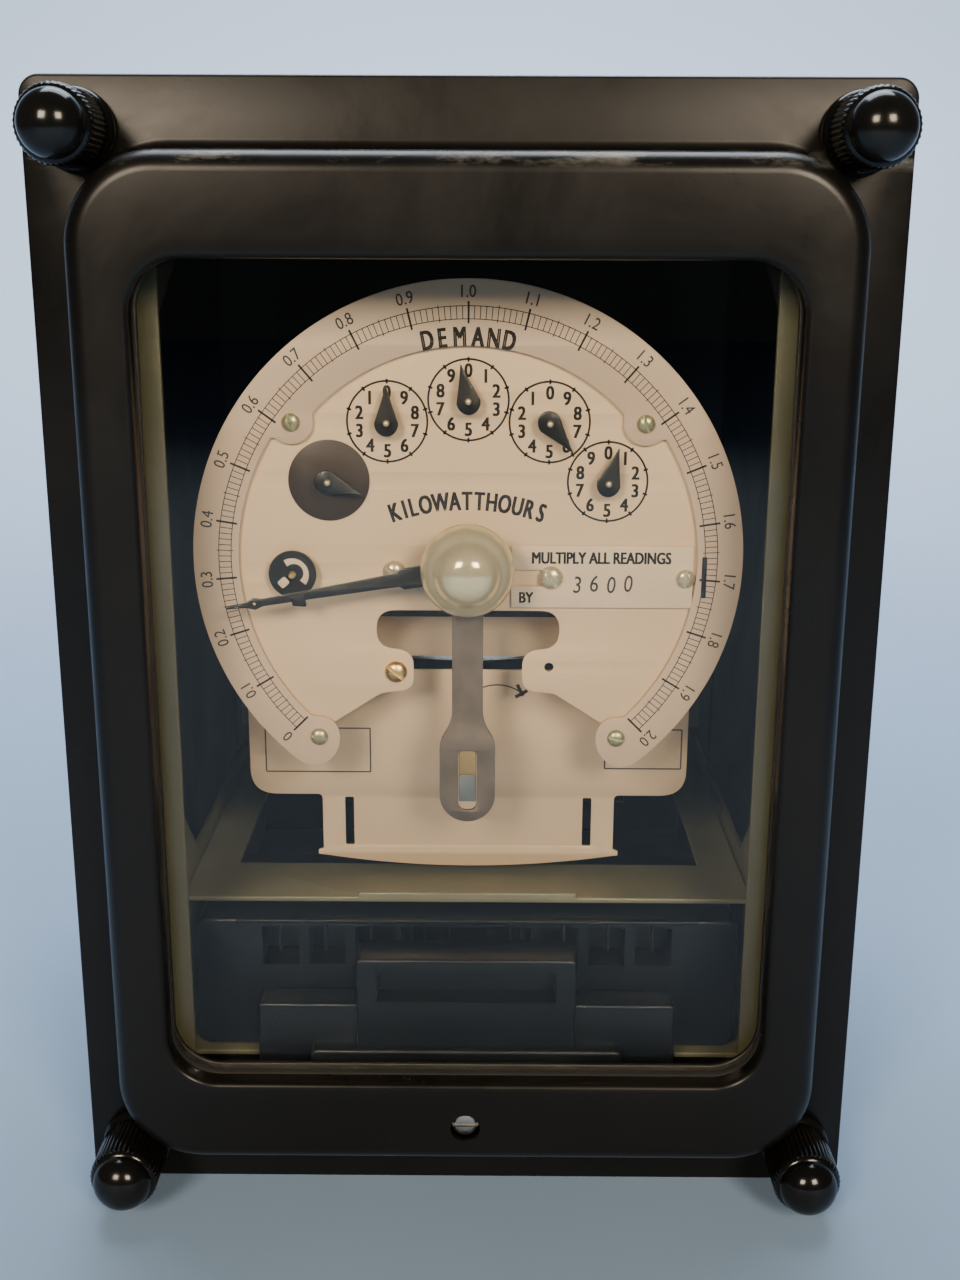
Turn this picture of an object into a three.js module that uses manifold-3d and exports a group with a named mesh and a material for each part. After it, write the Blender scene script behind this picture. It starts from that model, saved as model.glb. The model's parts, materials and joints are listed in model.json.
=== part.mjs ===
// Drawout-case switchboard watthour demand meter. Millimetres, +Z up, front towards -Y.
// Inside the group y = 0 is the front face of the cover flange and y grows towards the back of the case.
import * as THREE from 'three';
import { mergeVertices } from 'three/addons/utils/BufferGeometryUtils.js';
import Module from 'manifold-3d';

const wasm = await Module();
wasm.setup();

// ---- driving dimensions ----
const flangeWidth = 168.3;
const flangeHeight = 235;
const flangeCorner = 4;
const sheet = 1.6;
const flangeThickness = 2.4;
const seamGap = 0.3;
const runningGap = 0.35;

const bezelMarginX = 9.65;
const bezelMarginZ = 13.5;
const bezelWidth = flangeWidth - 2 * bezelMarginX;
const bezelHeight = flangeHeight - 2 * bezelMarginZ;
const bezelCorner = 18;
const bezelDepth = 15.5;
const bezelShoulder = 4.5;
const windowFrameX = 12.2;
const windowFrameZ = 19.6;
const windowWidth = bezelWidth - 2 * windowFrameX;
const windowHeight = bezelHeight - 2 * windowFrameZ;
const windowCorner = 10;
const lipDepth = 4.2;
const glassThickness = 3;
const glassHold = 2.2;
const windowGasketThickness = 1.8;
const retainerThickness = 1.2;

const coverGasketThickness = 2.2;
const gasketInset = 2.2;

const studInsetX = 10.65;
const studInsetZ = 10;
const studRadius = 2.5;
const nutRadius = 7.2;
const nutCollarRadius = 7.7;
const nutLength = 16.5;
const nutDomeHeight = 5;
const lockRadius = 3.15;
const lockRise = 9.1;

const caseInsetX = 8.15;
const caseInsetTop = 8.5;
const caseWidth = flangeWidth - 2 * caseInsetX;
const caseHeight = flangeHeight - caseInsetTop;
const caseDepth = 145;
const caseCorner = 5;
const caseFlangeThickness = 2;
const caseMouthInset = 2.4;
const terminalWidth = 116;
const terminalHeight = 52;
const terminalThickness = 9;
const terminalCentre = 48;
const terminalStudRadius = 3;
const terminalStudLength = 12;
const terminalPitch = 21;
const cableSlotWidth = 96;
const cableSlotHeight = 30;

const cradleWidth = caseWidth - 21.2;
const cradleSheet = 1.2;
const railFlange = 4.3;
const railDepth = 14;
const cradleFront = 6;
const cradleBackGap = 12.2;
const cradleFoot = 28;
const shelfHeight = 62.5;
const shelfFront = 14.5;
const shelfDepth = 19;
const shelfArm = 9.5;
const shelfRest = 20;
const postBottom = 82.3;
const postTop = 84.5;
const cradleTop = caseHeight - 12.5;
const topBarHeight = cradleTop - 10.4;
const topBarDepth = 16;
const topBarFront = 26;
const latchLength = 11;
const latchWidth = 9;

const pivotHeight = 140;
const scaleRadius = 58;
const scaleInner = 48.4;
const scaleCrownInner = 44.6;
const scaleCrownHalfAngle = 49;
const scaleEndAngle = 141;
const scaleFront = 14;
const plateThickness = 0.8;
const dialPlateRadius = 56;
const lobeRadius = 4.6;
const upperLobe = [36.6, 169];
const lowerLobe = [32.3, 100.8];
const centreLobe = [15.8, 115.4];
const windowHalfWidth = 19.6;
const windowHalfHeight = 4.1;
const windowCentre = 124.8;
const throatHalfWidth = 11.7;

const dialArcRadius = 33.6;
const dialStep = 30;
const dialRadius = 8.5;
const dialNames = ['ten_thousands', 'thousands', 'hundreds', 'tens', 'units'];
const dialReadings = [110, 0, -12, 141, 15];
const arborRadius = 0.7;
const wheelTeeth = 50;
const pinionLeaves = 5;
const toothHeight = 0.45;
const toothRoot = 0.62;
const toothWidth = 0.6;
const wheelThickness = 1;
const wheelPitchY = 2.4;
const firstWheelY = 22.6;
const registerFront = 18.6;
const registerBack = 40;
const registerPlate = 1.4;

const rotorToFrame = 58;
const diskHeight = 113;
const diskRadius = 46;
const diskThickness = 1.2;
const spindleRadius = 1.6;
const spindleBottom = 70.5;
const spindleTop = 172;
const wormTeeth = 50;
const wormWheelRadius = 12;
const wormRadius = 3;
const wormTurns = 4;
const threadHeight = 0.55;

const nameplateFront = 28;
const nameplateHalfWidth = 50;
const nameplateTop = 129;
const nameplateShoulder = 82;
const nameplateNeck = 33.6;
const nameplateBottom = 64.4;
const diskSlotHalfHeight = 1.6;
const diskSlotHalfWidth = 26;

const pointerFront = 6.4;
const pointerThickness = 0.9;
const pointerLength = 51;
const pointerRest = -100;
const resetArmFront = 9.2;
const resetArmThickness = 1.2;
const resetArmLength = 57;
const resetArmWidth = 6.6;
const resetArmEnd = 12;
const resetSlotWidth = 4;
const resetSlotLength = 13.6;
const resetTongueLength = 11.7;
const shaftRadius = 2;
const domeRadius = 9.7;
const domeFront = -4;
const domeBack = 4.6;
const indicatorCentre = [-37, 137.2];
const indicatorRadius = 5;

const cardWidth = 39.2;
const cardHeight = 13.4;
const cardLeft = 9.2;
const cardBottom = 129.9;

const poleInner = 30;
const poleWidth = 8;
const coreOuter = 58;
const coreDepth = 24;
const coreBottom = 86;
const coreTop = 144;
const limb = 10;
const airGap = 1.5;
const coilWall = 4.5;
const frameToCradle = 2;
const framePlate = 3;

const plugHalfWidth = 46;
const plugFront = -2.5;
const plugBottom = 19;
const blockHalfWidth = 60.5;
const blockTop = 59.5;
const blockFront = 9;
const blockBack = 46;

const facets = 24;
const midHeight = flangeHeight / 2;
const pitchDistance = 2 * dialArcRadius * Math.sin(THREE.MathUtils.degToRad(dialStep / 2));

// ---- finishes ----
const finish = (color, roughness, metalness) => new THREE.MeshStandardMaterial({ color, roughness, metalness });
const blackPaint = finish(0x15130f, 0.42, 0);
const casePaint = finish(0x17150f, 0.5, 0);
const blackMoulding = finish(0x14171d, 0.4, 0);
const plateWhite = finish(0xe2d6c6, 0.5, 0);
const railCream = finish(0xb9b89a, 0.5, 0);
const nickel = finish(0xb8b49a, 0.28, 1);
const steel = finish(0x8c8f92, 0.4, 1);
const zinc = finish(0x97979a, 0.5, 1);
const brass = finish(0xb08d4a, 0.35, 1);
const aluminium = finish(0xb9bcc0, 0.35, 1);
const copper = finish(0xa35f35, 0.4, 1);
const rubber = finish(0x1b1b1a, 0.85, 0);
const lamination = finish(0x4a4b4d, 0.55, 0.8);
const clearGlass = finish(0xdfe8ea, 0.05, 0);
const pointerBlack = finish(0x0d0d0d, 0.45, 0);

const part = new THREE.Group();

// ---- solids and joins ----
function solidOf(geometry) {
  const plain = geometry.clone();
  plain.deleteAttribute('normal');
  plain.deleteAttribute('uv');
  const merged = mergeVertices(plain, 1e-4);
  return new wasm.Manifold(new wasm.Mesh({
    numProp: 3,
    vertProperties: new Float32Array(merged.attributes.position.array),
    triVerts: new Uint32Array(merged.index.array),
  }));
}

function geometryOf(solid) {
  const mesh = solid.getMesh();
  const geometry = new THREE.BufferGeometry();
  geometry.setAttribute('position', new THREE.BufferAttribute(new Float32Array(mesh.vertProperties), 3));
  geometry.setIndex(new THREE.BufferAttribute(new Uint32Array(mesh.triVerts), 1));
  geometry.computeVertexNormals();
  return geometry;
}

const join = (...geometries) => geometryOf(geometries.map(solidOf).reduce((a, b) => a.add(b)));
const cut = (base, ...tools) => geometryOf(tools.map(solidOf).reduce((a, b) => a.subtract(b), solidOf(base)));

function piece(name, geometry, material) {
  const mesh = new THREE.Mesh(geometry, material);
  mesh.name = name;
  part.add(mesh);
  return mesh;
}

// ---- primitive shapes, all placed in the front frame ----
const block = (x0, x1, y0, y1, z0, z1) => new THREE.BoxGeometry(x1 - x0, y1 - y0, z1 - z0)
  .translate((x0 + x1) / 2, (y0 + y1) / 2, (z0 + z1) / 2);

// a rod along Y
const rodY = (radius, y0, y1, x, z, sides = facets) => new THREE.CylinderGeometry(radius, radius, y1 - y0, sides)
  .translate(x, (y0 + y1) / 2, z);

// a rod along Z
const rodZ = (radius, z0, z1, x, y, sides = facets) => new THREE.CylinderGeometry(radius, radius, z1 - z0, sides)
  .rotateX(Math.PI / 2)
  .translate(x, y, (z0 + z1) / 2);

// a flat outline in X and Z, given thickness along Y from y0 to y1
function slab(shape, y0, y1, curveSegments = 8) {
  const geometry = new THREE.ExtrudeGeometry(shape, { depth: y1 - y0, bevelEnabled: false, curveSegments });
  return geometry.rotateX(Math.PI / 2).translate(0, y1, 0);
}

function roundedShape(x0, x1, z0, z1, r) {
  const shape = new THREE.Shape();
  shape.moveTo(x0 + r, z0);
  shape.lineTo(x1 - r, z0);
  shape.absarc(x1 - r, z0 + r, r, -Math.PI / 2, 0);
  shape.lineTo(x1, z1 - r);
  shape.absarc(x1 - r, z1 - r, r, 0, Math.PI / 2);
  shape.lineTo(x0 + r, z1);
  shape.absarc(x0 + r, z1 - r, r, Math.PI / 2, Math.PI);
  shape.lineTo(x0, z0 + r);
  shape.absarc(x0 + r, z0 + r, r, Math.PI, Math.PI * 1.5);
  return shape;
}

// a centred rounded rectangle around the middle of the cover
const frontShape = (width, height, r) => roundedShape(
  -width / 2, width / 2, midHeight - height / 2, midHeight + height / 2, r);

// a rounded-rectangle ring: outer outline minus inner outline
const ring = (width, height, r, innerWidth, innerHeight, innerR, y0, y1) => cut(
  slab(frontShape(width, height, r), y0, y1, 5),
  slab(frontShape(innerWidth, innerHeight, innerR), y0 - 1, y1 + 1, 5));

// one closed skin through a stack of rounded rectangles: rings of [width, height, corner radius, y]
function loft(rings, cornerSteps = 5) {
  const positions = [];
  const count = 4 * (cornerSteps + 1);
  rings.forEach(([width, height, r, y]) => {
    for (let corner = 0; corner < 4; corner += 1) {
      const cx = (corner === 0 || corner === 3 ? 1 : -1) * (width / 2 - r);
      const cz = (corner < 2 ? 1 : -1) * (height / 2 - r) + midHeight;
      for (let step = 0; step <= cornerSteps; step += 1) {
        const angle = (corner + step / cornerSteps) * Math.PI / 2;
        positions.push(cx + r * Math.cos(angle), y, cz + r * Math.sin(angle));
      }
    }
  });
  const first = positions.length / 3;
  positions.push(0, rings[0][3], midHeight, 0, rings.at(-1)[3], midHeight);
  const index = [];
  for (let k = 0; k < rings.length - 1; k += 1) {
    for (let i = 0; i < count; i += 1) {
      const a = k * count + i;
      const b = k * count + (i + 1) % count;
      index.push(a, b, a + count, b, b + count, a + count);
    }
  }
  for (let i = 0; i < count; i += 1) {
    const next = (i + 1) % count;
    index.push(first, next, i);
    const last = (rings.length - 1) * count;
    index.push(first + 1, last + i, last + next);
  }
  const geometry = new THREE.BufferGeometry();
  geometry.setAttribute('position', new THREE.BufferAttribute(new Float32Array(positions), 3));
  geometry.setIndex(index);
  return geometry.toNonIndexed();
}

// a turned piece about an axis along Y through x, z: the outer profile [radius, y] runs from back to front
const turnedY = (profile, x, z, sides = facets) => new THREE.LatheGeometry(
  profile.toReversed().map(([r, y]) => new THREE.Vector2(r, y)), sides).translate(x, 0, z);

// turns a piece about the Y axis through x, z; positive is clockwise seen from the front
function turnAboutY(geometry, degrees, x, z) {
  return geometry.translate(-x, 0, -z).rotateY(THREE.MathUtils.degToRad(degrees)).translate(x, 0, z);
}

// ---- cover ----
const innerBezelWidth = bezelWidth - 2 * sheet;
const innerBezelHeight = bezelHeight - 2 * sheet;
const lockHeight = midHeight - bezelHeight / 2 + lockRise;
const studPlaces = [];
for (const [row, sz] of [['top', 1], ['bottom', -1]]) {
  for (const [side, sx] of [['left', -1], ['right', 1]]) {
    studPlaces.push([`${row}_${side}`, sx * (flangeWidth / 2 - studInsetX),
      midHeight + sz * (flangeHeight / 2 - studInsetZ)]);
  }
}

function bezelRings(inset, frontY, backY) {
  const width = bezelWidth - 2 * inset;
  const height = bezelHeight - 2 * inset;
  const corner = bezelCorner - inset;
  const shoulder = bezelShoulder - inset;
  const rings = [[width, height, corner, backY], [width, height, corner, frontY + shoulder]];
  const steps = 3;
  for (let k = 1; k <= steps; k += 1) {
    const angle = k / steps * Math.PI / 2;
    const draw = shoulder * (1 - Math.cos(angle));
    rings.push([width - 2 * draw, height - 2 * draw, corner - draw, frontY + shoulder * (1 - Math.sin(angle))]);
  }
  return rings;
}

const glassBack = -bezelDepth + lipDepth + windowGasketThickness + 2 * seamGap + glassThickness;
const glassFront = glassBack - glassThickness;
const windowCut = slab(frontShape(windowWidth, windowHeight, windowCorner), -bezelDepth - 2, 1);
const lipSolid = slab(frontShape(windowWidth + 2 * sheet, windowHeight + 2 * sheet, windowCorner + sheet),
  -bezelDepth + sheet / 2, -bezelDepth + lipDepth);
const coverBlank = geometryOf(
  solidOf(slab(frontShape(flangeWidth, flangeHeight, flangeCorner), 0, flangeThickness, 3))
    .add(solidOf(loft(bezelRings(0, -bezelDepth, flangeThickness / 2))))
    .subtract(solidOf(loft(bezelRings(sheet, -bezelDepth + sheet, flangeThickness + 2))))
    .add(solidOf(lipSolid)));
piece('cover_shell', cut(coverBlank, windowCut,
  rodY(lockRadius, -bezelDepth - 2, -bezelDepth + sheet + 2, 0, lockHeight, 16),
  ...studPlaces.map(([, x, z]) => rodY(studRadius + 2 * runningGap, -2, flangeThickness + 2, x, z, 12))),
blackPaint);

const glassWidth = windowWidth + 2 * glassHold;
const glassHeight = windowHeight + 2 * glassHold;
const glassCorner = windowCorner + glassHold;
piece('window_glass', slab(frontShape(glassWidth, glassHeight, glassCorner), glassFront, glassBack, 6), clearGlass);
piece('window_gasket', ring(glassWidth, glassHeight, glassCorner,
  windowWidth + seamGap, windowHeight + seamGap, windowCorner,
  glassFront - seamGap - windowGasketThickness, glassFront - seamGap), rubber);

// the retainer frame clamps the glass from behind and reaches out to the bezel walls
piece('glass_retainer', ring(innerBezelWidth - 2 * seamGap, innerBezelHeight - 2 * seamGap, bezelCorner - sheet,
  windowWidth + 1, windowHeight + 1, windowCorner,
  glassBack + seamGap, glassBack + seamGap + retainerThickness), zinc);

const gasketFront = flangeThickness + seamGap;
const gasketBack = gasketFront + coverGasketThickness;
piece('cover_gasket', cut(
  ring(flangeWidth - 2 * gasketInset, flangeHeight - 2 * gasketInset, flangeCorner,
    bezelWidth + 2, bezelHeight + 2, bezelCorner, gasketFront, gasketBack),
  ...studPlaces.map(([, x, z]) => rodY(studRadius + runningGap, gasketFront - 1, gasketBack + 1, x, z, 12))), rubber);

// the lock screw sits in the recess under the window, with its tongue behind the bezel face
const lockFront = -bezelDepth + 1.4;
const lockBack = lockFront + 8;
piece('lock_screw', join(
  turnedY([[0, lockBack], [1.6, lockBack], [1.6, lockFront + 3], [lockRadius - runningGap, lockFront + 3],
    [lockRadius - runningGap, lockFront], [0, lockFront]], 0, lockHeight, 16),
  block(-7, 7, lockBack - 3, lockBack - 1.2, lockHeight - 2.2, lockHeight + 2.2)), steel);

// knurled thumb nuts, bored from behind for the studs
const nutBack = -seamGap;
const boreDepth = nutLength * 0.72;
function thumbNutProfile() {
  const bore = studRadius + runningGap;
  const face = nutBack - nutLength;
  const profile = [[0, nutBack - boreDepth], [bore, nutBack - boreDepth], [bore, nutBack],
    [nutCollarRadius, nutBack], [nutCollarRadius, nutBack - 2.4], [nutRadius - 0.7, nutBack - 3],
    [nutRadius, nutBack - 3.8], [nutRadius, face + 0.6], [nutRadius - 0.6, face]];
  const steps = 3;
  for (let k = 1; k <= steps; k += 1) {
    const angle = k / steps * Math.PI / 2;
    const radius = (nutRadius - 0.6) * Math.cos(angle);
    profile.push([k === steps ? 0 : radius, face - nutDomeHeight * Math.sin(angle)]);
  }
  return profile;
}
const studFront = nutBack - boreDepth + 0.6;
const caseFront = gasketBack + seamGap;
studPlaces.forEach(([place, x, z]) => {
  piece(`thumb_nut_${place}`, turnedY(thumbNutProfile(), x, z, 16), blackMoulding);
  piece(`cover_stud_${place}`, rodY(studRadius, studFront, caseFront + caseFlangeThickness - seamGap, x, z, 12), steel);
});

// ---- case ----
const caseBack = caseFront + caseDepth;
const cradleBack = caseBack - cradleBackGap;
const frameBack = cradleBack - frameToCradle;
const rotorY = frameBack - rotorToFrame;
const caseShape = (inset) => roundedShape(
  -caseWidth / 2 + inset, caseWidth / 2 - inset, inset, caseHeight - inset, caseCorner - inset);
const mouthWidth = bezelWidth - 2 * caseMouthInset;
const mouthHeight = bezelHeight - 2 * caseMouthInset;
piece('case_shell', cut(
  join(
    slab(frontShape(flangeWidth, flangeHeight, flangeCorner), caseFront, caseFront + caseFlangeThickness, 3),
    slab(caseShape(0), caseFront + caseFlangeThickness / 2, caseBack, 4)),
  slab(caseShape(sheet), caseFront + caseFlangeThickness, caseBack - sheet, 4),
  slab(frontShape(mouthWidth, mouthHeight, bezelCorner - caseMouthInset), caseFront - 1, caseFront + 8, 5),
  block(-cableSlotWidth / 2, cableSlotWidth / 2, caseBack - 2 * sheet, caseBack + 1,
    terminalCentre - cableSlotHeight / 2, terminalCentre + cableSlotHeight / 2),
  ...studPlaces.map(([, x, z]) => rodY(studRadius + runningGap, caseFront - 1, caseFront + 4, x, z, 12))), casePaint);

// the rear terminal block closes the cable slot and carries ten studs in two rows
const terminalFront = caseBack + seamGap;
const terminalBack = terminalFront + terminalThickness;
const terminalStuds = [];
for (let column = -2; column <= 2; column += 1) {
  for (const row of [-1, 1]) {
    terminalStuds.push(rodY(terminalStudRadius, terminalBack - 1, terminalBack + terminalStudLength,
      column * terminalPitch, terminalCentre + row * terminalHeight / 4, 10));
  }
}
piece('rear_terminal_block', join(
  slab(roundedShape(-terminalWidth / 2, terminalWidth / 2, terminalCentre - terminalHeight / 2,
    terminalCentre + terminalHeight / 2, 4), terminalFront, terminalBack, 3),
  ...terminalStuds), blackMoulding);

const contactTop = cradleFoot - cradleSheet - 2;
piece('case_contact_block', join(
  block(-blockHalfWidth, blockHalfWidth, 60, caseBack - sheet - seamGap, sheet + seamGap, contactTop - 6),
  block(-blockHalfWidth + 6, blockHalfWidth - 6, 70, 110, contactTop - 7, contactTop)), blackMoulding);

// ---- cradle ----
const railOuter = cradleWidth / 2;
const railInner = railOuter - cradleSheet;
[['left', -1], ['right', 1]].forEach(([side, s]) => {
  const outline = new THREE.Shape();
  const topBarBack = topBarFront + topBarDepth;
  const wallTop = shelfHeight + 4;
  // a full-depth wall below the shelf, a narrow post above it and an arm at the top for the bar
  [[cradleFront, cradleTop], [cradleFront, cradleFoot - cradleSheet], [cradleBack, cradleFoot - cradleSheet],
    [cradleBack, wallTop], [cradleFront + 2 * railDepth, wallTop], [cradleFront + railDepth, wallTop + railDepth],
    [cradleFront + railDepth, topBarHeight - railDepth], [topBarBack, topBarHeight - 2], [topBarBack, cradleTop]]
    .forEach(([y, z], k) => (k ? outline.lineTo(y, z) : outline.moveTo(y, z)));
  const rail = new THREE.ExtrudeGeometry(outline, { depth: cradleSheet, bevelEnabled: false });
  // outline X runs back along Y and outline Y runs up along Z
  rail.applyMatrix4(new THREE.Matrix4().set(0, 0, 1, 0, 1, 0, 0, 0, 0, 1, 0, 0, 0, 0, 0, 1));
  rail.translate(s > 0 ? railInner : -railOuter, 0, 0);
  const edge = [s * railOuter, s * (railOuter - railFlange)].sort((a, b) => a - b);
  const flange = block(...edge, cradleFront, cradleFront + cradleSheet, cradleFoot - cradleSheet, cradleTop);
  piece(`cradle_side_${side}`, join(rail, flange), railCream);
});
const insideRail = railInner - seamGap;
piece('cradle_foot', cut(
  block(-insideRail, insideRail, cradleFront + cradleSheet + seamGap, cradleBack,
    cradleFoot - cradleSheet, cradleFoot),
  block(-plugHalfWidth - 1, plugHalfWidth + 1, cradleFront, blockFront + 1, cradleFoot - 3, cradleFoot + 1)), railCream);
piece('cradle_shelf', join(
  cut(block(-insideRail, insideRail, shelfFront, cradleBack, shelfHeight - cradleSheet, shelfHeight),
    block(shelfArm - insideRail, insideRail - shelfArm, shelfFront + shelfDepth, cradleBack - shelfRest,
      shelfHeight - 2 * cradleSheet, shelfHeight + cradleSheet)),
  block(-24.5, 24.5, shelfFront, shelfFront + 1.2, shelfHeight - cradleSheet, shelfHeight + 1.1)), railCream);
piece('cradle_top_bar', join(
  block(-insideRail, insideRail, topBarFront, topBarFront + topBarDepth, topBarHeight, topBarHeight + cradleSheet),
  block(-insideRail, insideRail, topBarFront, topBarFront + cradleSheet, topBarHeight, cradleTop)), railCream);

// the latch lever stands up from a pin on the front of the top bar
const latchPivot = [topBarFront - 3, topBarHeight + 4];
const pinRadius = 1;
const pinAlongX = (radius, length, sides) => new THREE.CylinderGeometry(radius, radius, length, sides)
  .rotateZ(Math.PI / 2)
  .translate(0, ...latchPivot);
piece('cradle_latch', cut(
  join(
    block(-latchWidth / 2, latchWidth / 2, latchPivot[0] - 1, latchPivot[0] + 1,
      latchPivot[1], latchPivot[1] + latchLength),
    pinAlongX(2.4, latchWidth, 16)),
  pinAlongX(pinRadius + runningGap, latchWidth + 2, 12)), steel);
const lugInner = latchWidth / 2 + 1;
const lugOuter = lugInner + 1.4;
const lugs = [[-lugOuter, -lugInner], [lugInner, lugOuter]].map(([x0, x1]) => block(
  x0, x1, latchPivot[0] - 2, topBarFront - seamGap, latchPivot[1] - 2.5, latchPivot[1] + 2.5));
piece('latch_bracket', join(
  pinAlongX(pinRadius, 2 * lugOuter + 1, 12),
  ...lugs,
  block(-lugOuter, lugOuter, latchPivot[0] - 2, topBarFront - seamGap, latchPivot[1] - 4, latchPivot[1] - 2.9),
  ...lugs.map((lug) => lug.clone().translate(0, 0, -1.2))), railCream);

// moulded contact block under the shelf, with the finger compartments open to the front
const compartments = [];
const compartmentPitch = 10.4;
for (let k = -4; k <= 4; k += 1) {
  compartments.push(block(k * compartmentPitch - 4, k * compartmentPitch + 4, blockFront - 1, blockFront + 9,
    blockTop - 11, blockTop - 2));
}
const blockBottom = cradleFoot + seamGap;
piece('cradle_contact_block', cut(
  block(-blockHalfWidth, blockHalfWidth, blockFront, blockBack, blockBottom, blockTop),
  ...compartments), blackMoulding);

// the connection plug stands in front of the contact block, with a stepped face and a finger grip
const plugBack = blockFront - seamGap;
piece('connection_plug', cut(
  join(
    block(-plugHalfWidth, plugHalfWidth, plugFront + 4, plugBack, plugBottom + 2, 43),
    block(-34, 34, plugFront, plugBack, plugBottom, 34),
    block(-24, 24, plugFront + 1.5, plugBack, 33, 55)),
  block(-19.5, 19.5, plugFront - 1, plugFront + 7, 45, 52)), blackMoulding);

// ---- meter chassis ----
const shelfTop = shelfHeight + seamGap;
const lowerBracket = spindleBottom + 1.5;
const upperBracket = spindleTop - 5;
const bearingRadius = 5;
const bracket = (z) => block(-9, 9, rotorY - 9, frameBack + 1, z, z + 3.2);
const bracketBore = (z) => rodZ(bearingRadius + seamGap, z - 1, z + 5, 0, rotorY, 16);
// lower posts carry the nameplate, upper posts the register frame
const nameplateBack = nameplateFront + plateThickness;
const chassisPosts = [-1, 1].flatMap((s) => [
  block(s * 44 - 3, s * 44 + 3, nameplateBack + seamGap, frameBack - 1, postBottom, postTop),
  block(s * 49 - 3, s * 49 + 3, registerBack + registerPlate + seamGap, frameBack - 1, 153, 159)]);
piece('meter_frame', cut(
  join(
    slab(roundedShape(-56, 56, shelfTop, 196, 5), frameBack - framePlate, frameBack, 3),
    block(-56, 56, frameBack - 14, frameBack - 1, shelfTop, shelfTop + 3),
    bracket(lowerBracket), bracket(upperBracket), ...chassisPosts),
  bracketBore(lowerBracket), bracketBore(upperBracket)), casePaint);

// rotor: a disk on its spindle, between two bearings
const diskTop = diskHeight + diskThickness;
piece('rotor_disk', cut(
  join(rodZ(diskRadius, diskHeight, diskTop, 0, rotorY, 40), rodZ(5, diskHeight - 2, diskTop + 2, 0, rotorY, 16)),
  rodZ(spindleRadius + seamGap, diskHeight - 4, diskTop + 4, 0, rotorY, 16)), aluminium);

const wormLead = 2 * Math.PI * wormWheelRadius / wormTeeth;
const wormTipGap = 0.2;
const wormX = wormWheelRadius + toothHeight + wormTipGap + wormRadius;
const dialPlace = (k) => {
  const angle = THREE.MathUtils.degToRad((k - 2) * dialStep);
  return [dialArcRadius * Math.sin(angle), pivotHeight + dialArcRadius * Math.cos(angle)];
};
const unitsPlace = dialPlace(4);
const wormWheelZ = unitsPlace[1] - Math.sqrt(pitchDistance ** 2 - (unitsPlace[0] - wormX) ** 2);

// one skin for the spindle: rings of radii up the axis, a right-hand ridge wound round the worm's rings
const wormSides = 10;
function spindleSurface() {
  const plain = (radius) => new Array(wormSides).fill(radius);
  const start = -wormTurns * wormSides / 2;
  const rings = [[spindleBottom, plain(spindleRadius)]];
  const low = wormWheelZ + (start - 1) * wormLead / wormSides;
  const high = wormWheelZ + (1 - start) * wormLead / wormSides;
  rings.push([low, plain(spindleRadius)], [low, plain(wormRadius)]);
  for (let row = start; row <= -start; row += 1) {
    const radii = plain(wormRadius).map((radius, column) => {
      const step = ((row - column) % wormSides + wormSides) % wormSides;
      const away = Math.min(step, wormSides - step);
      return radius + threadHeight * Math.max(0, 1 - 0.5 * away);
    });
    rings.push([wormWheelZ + row * wormLead / wormSides, radii]);
  }
  rings.push([high, plain(wormRadius)], [high, plain(spindleRadius)], [spindleTop, plain(spindleRadius)]);
  const positions = [];
  rings.forEach(([z, radii]) => radii.forEach((radius, column) => {
    const angle = 2 * Math.PI * column / wormSides;
    positions.push(radius * Math.cos(angle), rotorY + radius * Math.sin(angle), z);
  }));
  const bottom = positions.length / 3;
  positions.push(0, rotorY, spindleBottom, 0, rotorY, spindleTop);
  const index = [];
  for (let column = 0; column < wormSides; column += 1) {
    const next = (column + 1) % wormSides;
    for (let k = 0; k < rings.length - 1; k += 1) {
      const a = k * wormSides + column;
      const b = k * wormSides + next;
      index.push(a, b, a + wormSides, b, b + wormSides, a + wormSides);
    }
    const last = (rings.length - 1) * wormSides;
    index.push(bottom, next, column, bottom + 1, last + column, last + next);
  }
  const geometry = new THREE.BufferGeometry();
  geometry.setAttribute('position', new THREE.BufferAttribute(new Float32Array(positions), 3));
  geometry.setIndex(index);
  return geometry.toNonIndexed();
}
piece('rotor_spindle', spindleSurface(), steel);

// bearing cups: a thrust cup below the spindle and a guide ring above it
const cupFloor = spindleBottom - runningGap;
piece('lower_bearing', cut(
  join(rodZ(bearingRadius, lowerBracket - 3, lowerBracket + 5, 0, rotorY, 16),
    rodZ(bearingRadius + 1.6, lowerBracket + 3.5, lowerBracket + 5.5, 0, rotorY, 16)),
  rodZ(spindleRadius + runningGap, cupFloor, lowerBracket + 8, 0, rotorY, 16)), brass);
piece('upper_bearing', cut(
  join(rodZ(bearingRadius, upperBracket - 2.5, upperBracket + 6, 0, rotorY, 16),
    rodZ(bearingRadius + 1.6, upperBracket + 3.5, upperBracket + 6, 0, rotorY, 16)),
  rodZ(spindleRadius + runningGap, upperBracket - 4, upperBracket + 5, 0, rotorY, 16)), brass);

// the drag magnet straddles the back edge of the disk
const magnetFront = rotorY + diskRadius - 16;
piece('drag_magnet', cut(
  block(-14, 14, magnetFront, frameBack - framePlate - seamGap, diskHeight - 16, diskTop + 16),
  block(-15, 15, magnetFront - 1, rotorY + diskRadius + 2, diskHeight - airGap, diskTop + airGap)), zinc);

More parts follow.
